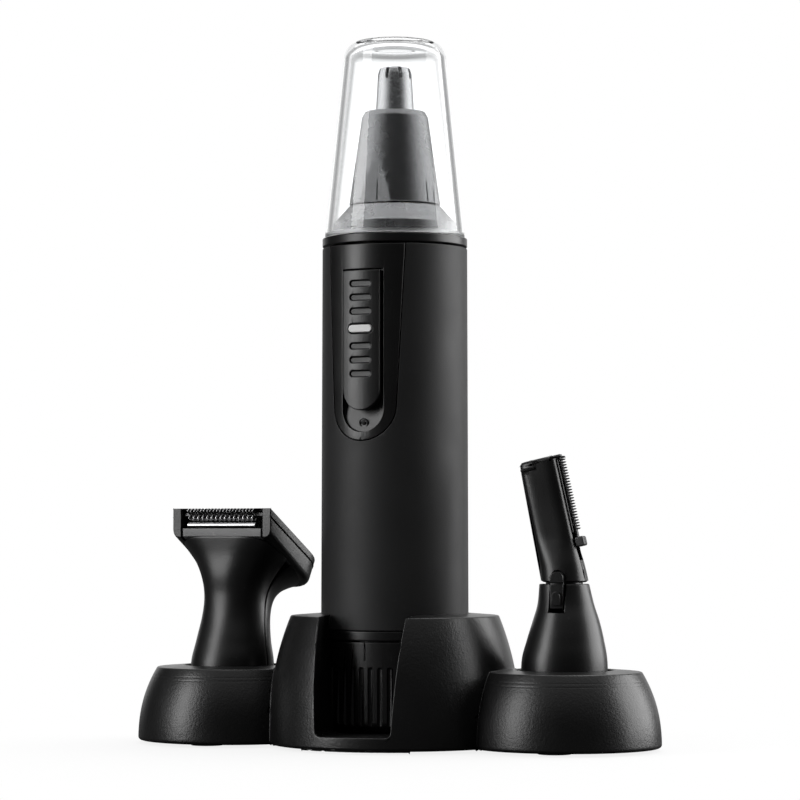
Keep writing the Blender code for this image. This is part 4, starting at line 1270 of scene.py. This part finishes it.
def buildBrowBlades():
    edge = brow["edgeX"]
    fixed = block("browFixedBlade", (-2, -0.65, 8.6), (edge + 0.1, -0.2, 23.3))
    roundEdges(fixed, 0.08, 2)
    finishPiece(fixed, "brow_head", "blade_steel", "brow_fixed_blade", place=armPlace)
    moving = [block("browMovingBlade", (-1.8, 0.1, 9.4), (edge - 0.5, 0.5, 22.6))]
    for index in range(24):
        z = 9.7 + index * 0.55
        tooth = [(edge - 0.6, z - 0.15), (edge - 0.1, z - 0.1), (edge - 0.1, z + 0.1), (edge - 0.6, z + 0.15)]
        moving.append(plate("tooth", tooth, 0.1, 0.5, "Y"))
    moving = joinAll(moving)
    roundEdges(moving, 0.04, 1)
    finishPiece(moving, "brow_blade", "blade_steel", "brow_moving_blade", place=armPlace)


def buildBrowComb():
    edge = brow["edgeX"]
    spine = block("browComb", (edge + 0.5, -0.55, 7.2), (edge + 0.9, 0.45, 23.8))
    cap = block("combCap", (edge - 1.2, -0.75, 23.4), (edge + 0.95, 0.6, 24.0))
    foot = block("combFoot", (edge + 0.2, -1.3, 5.6), (edge + 2.0, 1.1, 7.5))
    parts = [roundEdges(spine, 0.12, 2), roundEdges(cap, 0.15, 2), roundEdges(foot, 0.35, 4)]
    for index in range(brow["combTeeth"]):
        z = 9.1 + index * brow["combPitch"]
        tooth = [
            (edge + 0.7, z - 0.16),
            (edge + 1.35, z - 0.12),
            (edge + 1.6, z + 0.05),
            (edge + 1.35, z + 0.14),
            (edge + 0.7, z + 0.16),
        ]
        parts.append(roundEdges(plate("tooth", tooth, -0.5, 0.4, "Y"), 0.05, 1))
    comb = joinAll(parts)
    finishPiece(comb, "brow_comb", "grey_plastic", "brow_comb", place=armPlace)


def buildLatch():
    low, high = brow["latchLow"] + 0.8, brow["latchTop"] - 0.3
    tab = plate("browLatch", archOutline(brow["latchHalf"] - 0.3, low, high), -5.3, -4.2, "Y")
    button = plate("button", archOutline(0.85, low + 0.6, low + 3.2), -5.9, -5.0, "Y")
    add(tab, button)
    cut(tab, block("seamGroove", (-2, -7, 32.1), (2, -5.05, 32.5)))
    roundEdges(tab, 0.12, 2, 40)
    finishPiece(tab, "brow_latch", "satin_black", "brow_latch", place=browPlace)


buildBrowBody()
buildBrowBlades()
buildBrowComb()
buildLatch()
print("brow head made")


# Every solid that still shows keeps its shape and gets its slot's finish

inside = {
    "foot_rubber": ("foot_", "cap_seal"),
    "blade_steel": ("stand_screw", "cap_contact_spring", "motor_shaft", "motor_can", "cutter_spring"),
    "contact_copper": ("positive_contact", "switch_contact", "cap_contact_plate"),
    "bush_brass": ("_bush",),
    "cell_wrap": ("battery_cell",),
    "white_plastic": ("motor_end_cap",),
    "grey_plastic": ("lock_sleeve", "coupler", "spindle", "carrier", "lever"),
}
for name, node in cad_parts.items():
    if node.hide_render:
        continue
    found = [slot for slot, words in inside.items() if any(word in name for word in words)]
    slot = "bush_brass" if name.endswith("_bush") else (found[0] if found else "satin_black")
    node.data.materials.clear()
    node.data.materials.append(finishes[slot])


# Floor, light and camera

studio = {
    "aim": (0, 0, 0.062),
    "floor": (0.86, 0.86, 0.86),
    # painted shade: the near-black colour the floor shows in reflections and bounce light on the pieces
    "paintedFloorShade": (0.05, 0.05, 0.05),
    "cameraTurn": 20.0,
    "cameraAway": 0.585,
    "cameraHeight": 0.042,
    "cameraPitch": 2.59,
    "cameraYaw": 0.1,
    "lens": 132.6,
}

# turn from the camera, rise, width, height, strength
softboxes = {
    "leftStrip": (-66, 10, 0.36, 0.9, 7.0),
    "rightBox": (101, 10, 0.82, 0.9, 12.0),
    "topBox": (160, 70, 0.8, 0.8, 5.0),
}


def softbox(name, turn, rise, width, height, power):
    angle, lift = math.radians(studio["cameraTurn"] + turn), math.radians(rise)
    back = Vector((math.sin(angle) * math.cos(lift), -math.cos(angle) * math.cos(lift), math.sin(lift)))
    lamp = bpy.data.lights.new(name, "AREA")
    lamp.shape = "RECTANGLE"
    lamp.size, lamp.size_y = width, height
    lamp.energy = power
    item = bpy.data.objects.new(name, lamp)
    item.location = Vector(studio["aim"]) + back * 0.9
    item.rotation_mode = "QUATERNION"
    item.rotation_quaternion = back.to_track_quat("Z", "Y")
    item.visible_camera = False
    item.visible_transmission = False
    bpy.context.scene.collection.objects.link(item)


def buildFloor():
    clearSelection()
    bpy.ops.mesh.primitive_plane_add(size=6)
    floor = bpy.context.object
    floor.name = "studioFloor"
    material, tree, shader, place = startMaterial("paleFloor")
    tone = noiseNode(tree, place, 40.0)
    pale = mixColour(tree, tone, studio["floor"], tuple(c * 0.98 for c in studio["floor"]))
    # painted shade: only camera rays and rays through the cover see the pale floor; every other ray, in
    # reflections and bounce light, sees it near black
    path = tree.nodes.new("ShaderNodeLightPath")
    seen = mathNode(tree, "MAXIMUM", path.outputs["Is Camera Ray"], path.outputs["Is Transmission Ray"])
    tree.links.new(mixColour(tree, seen, studio["paintedFloorShade"], pale), shader.inputs["Base Color"])
    shader.inputs["Roughness"].default_value = 0.8
    shader.inputs["Specular IOR Level"].default_value = 0.2

    # the paper runs out into plain white away from the set
    length = tree.nodes.new("ShaderNodeVectorMath")
    length.operation = "LENGTH"
    tree.links.new(place, length.inputs[0])
    far = tree.nodes.new("ShaderNodeMapRange")
    far.inputs["From Min"].default_value = 0.05
    far.inputs["From Max"].default_value = 0.11
    far.inputs["To Min"].default_value = 0.84
    tree.links.new(length.outputs["Value"], far.inputs["Value"])
    white = tree.nodes.new("ShaderNodeEmission")
    mix = tree.nodes.new("ShaderNodeMixShader")
    tree.links.new(mathNode(tree, "MULTIPLY", seen, far.outputs["Result"]), mix.inputs[0])
    tree.links.new(shader.outputs[0], mix.inputs[1])
    tree.links.new(white.outputs[0], mix.inputs[2])
    tree.links.new(mix.outputs[0], tree.nodes["Material Output"].inputs["Surface"])
    floor.data.materials.append(material)


def worldRamp(tree, share, low, high, dark, bright):
    ramp = tree.nodes.new("ShaderNodeMapRange")
    ramp.interpolation_type = "SMOOTHSTEP"
    for label, value in (("From Min", low), ("From Max", high), ("To Min", dark), ("To Max", bright)):
        ramp.inputs[label].default_value = value
    tree.links.new(share, ramp.inputs["Value"])
    return ramp.outputs["Result"]


def buildWorld():
    # white paper behind, black drapes in front; what stands inside the clear cover sees its own bright sides
    world = bpy.data.worlds.new("studioWorld")
    bpy.context.scene.world = world
    world.use_nodes = True
    tree = world.node_tree
    angle = math.radians(studio["cameraTurn"])
    facing = tree.nodes.new("ShaderNodeVectorMath")
    facing.operation = "DOT_PRODUCT"
    facing.inputs[1].default_value = (-math.sin(angle), math.cos(angle), 0)
    tree.links.new(tree.nodes.new("ShaderNodeTexCoord").outputs["Generated"], facing.inputs[0])
    behind = facing.outputs["Value"]
    outside = worldRamp(tree, behind, 0.72, 0.95, 0.03, 0.9)
    # through the cover: light from the sides for the head, a dimmer ring that draws the wall's edges, and
    # white straight behind
    flanks = worldRamp(tree, behind, -0.85, 0.15, 0.02, 1.9)
    ring = worldRamp(tree, behind, 0.5, 0.85, 1.0, 0.22)
    straight = worldRamp(tree, behind, 0.93, 0.985, 0.0, 1.4)
    throughCover = mathNode(tree, "MAXIMUM", mathNode(tree, "MULTIPLY", flanks, ring), straight)
    height = tree.nodes.new("ShaderNodeSeparateXYZ")
    tree.links.new(facing.inputs[0].links[0].from_socket, height.inputs[0])
    above = worldRamp(tree, height.outputs["Z"], 0.35, 0.85, 0.0, 0.5)
    outside = mathNode(tree, "MAXIMUM", outside, above)
    path = tree.nodes.new("ShaderNodeLightPath")
    mix = tree.nodes.new("ShaderNodeMix")
    tree.links.new(path.outputs["Is Transmission Ray"], mix.inputs["Factor"])
    tree.links.new(outside, mix.inputs[2])
    tree.links.new(throughCover, mix.inputs[3])
    strength = mathNode(tree, "MAXIMUM", mix.outputs[0], path.outputs["Is Camera Ray"])
    tree.nodes["Background"].inputs["Color"].default_value = (1, 1, 1, 1)
    tree.links.new(strength, tree.nodes["Background"].inputs["Strength"])


def buildCamera():
    bpy.context.scene.view_settings.view_transform = "Standard"
    # the thick clear wall passes light on many times
    bpy.context.scene.cycles.max_bounces = 24
    bpy.context.scene.cycles.glossy_bounces = 16
    bpy.context.scene.cycles.transmission_bounces = 24
    lens = bpy.data.cameras.new("studioCamera")
    lens.lens = studio["lens"]
    lens.sensor_width = 36
    lens.clip_start = 0.01
    camera = bpy.data.objects.new("studioCamera", lens)
    turn = studio["cameraTurn"]
    angle = math.radians(turn)
    away = studio["cameraAway"]
    camera.location = (away * math.sin(angle), -away * math.cos(angle), studio["cameraHeight"])
    pitch = math.radians(90 + studio["cameraPitch"])
    camera.rotation_euler = (pitch, 0, math.radians(turn - studio["cameraYaw"]))
    bpy.context.scene.collection.objects.link(camera)
    bpy.context.scene.camera = camera


buildFloor()
buildWorld()
for name, settings in softboxes.items():
    softbox(name, *settings)
buildCamera()
print("studio made")
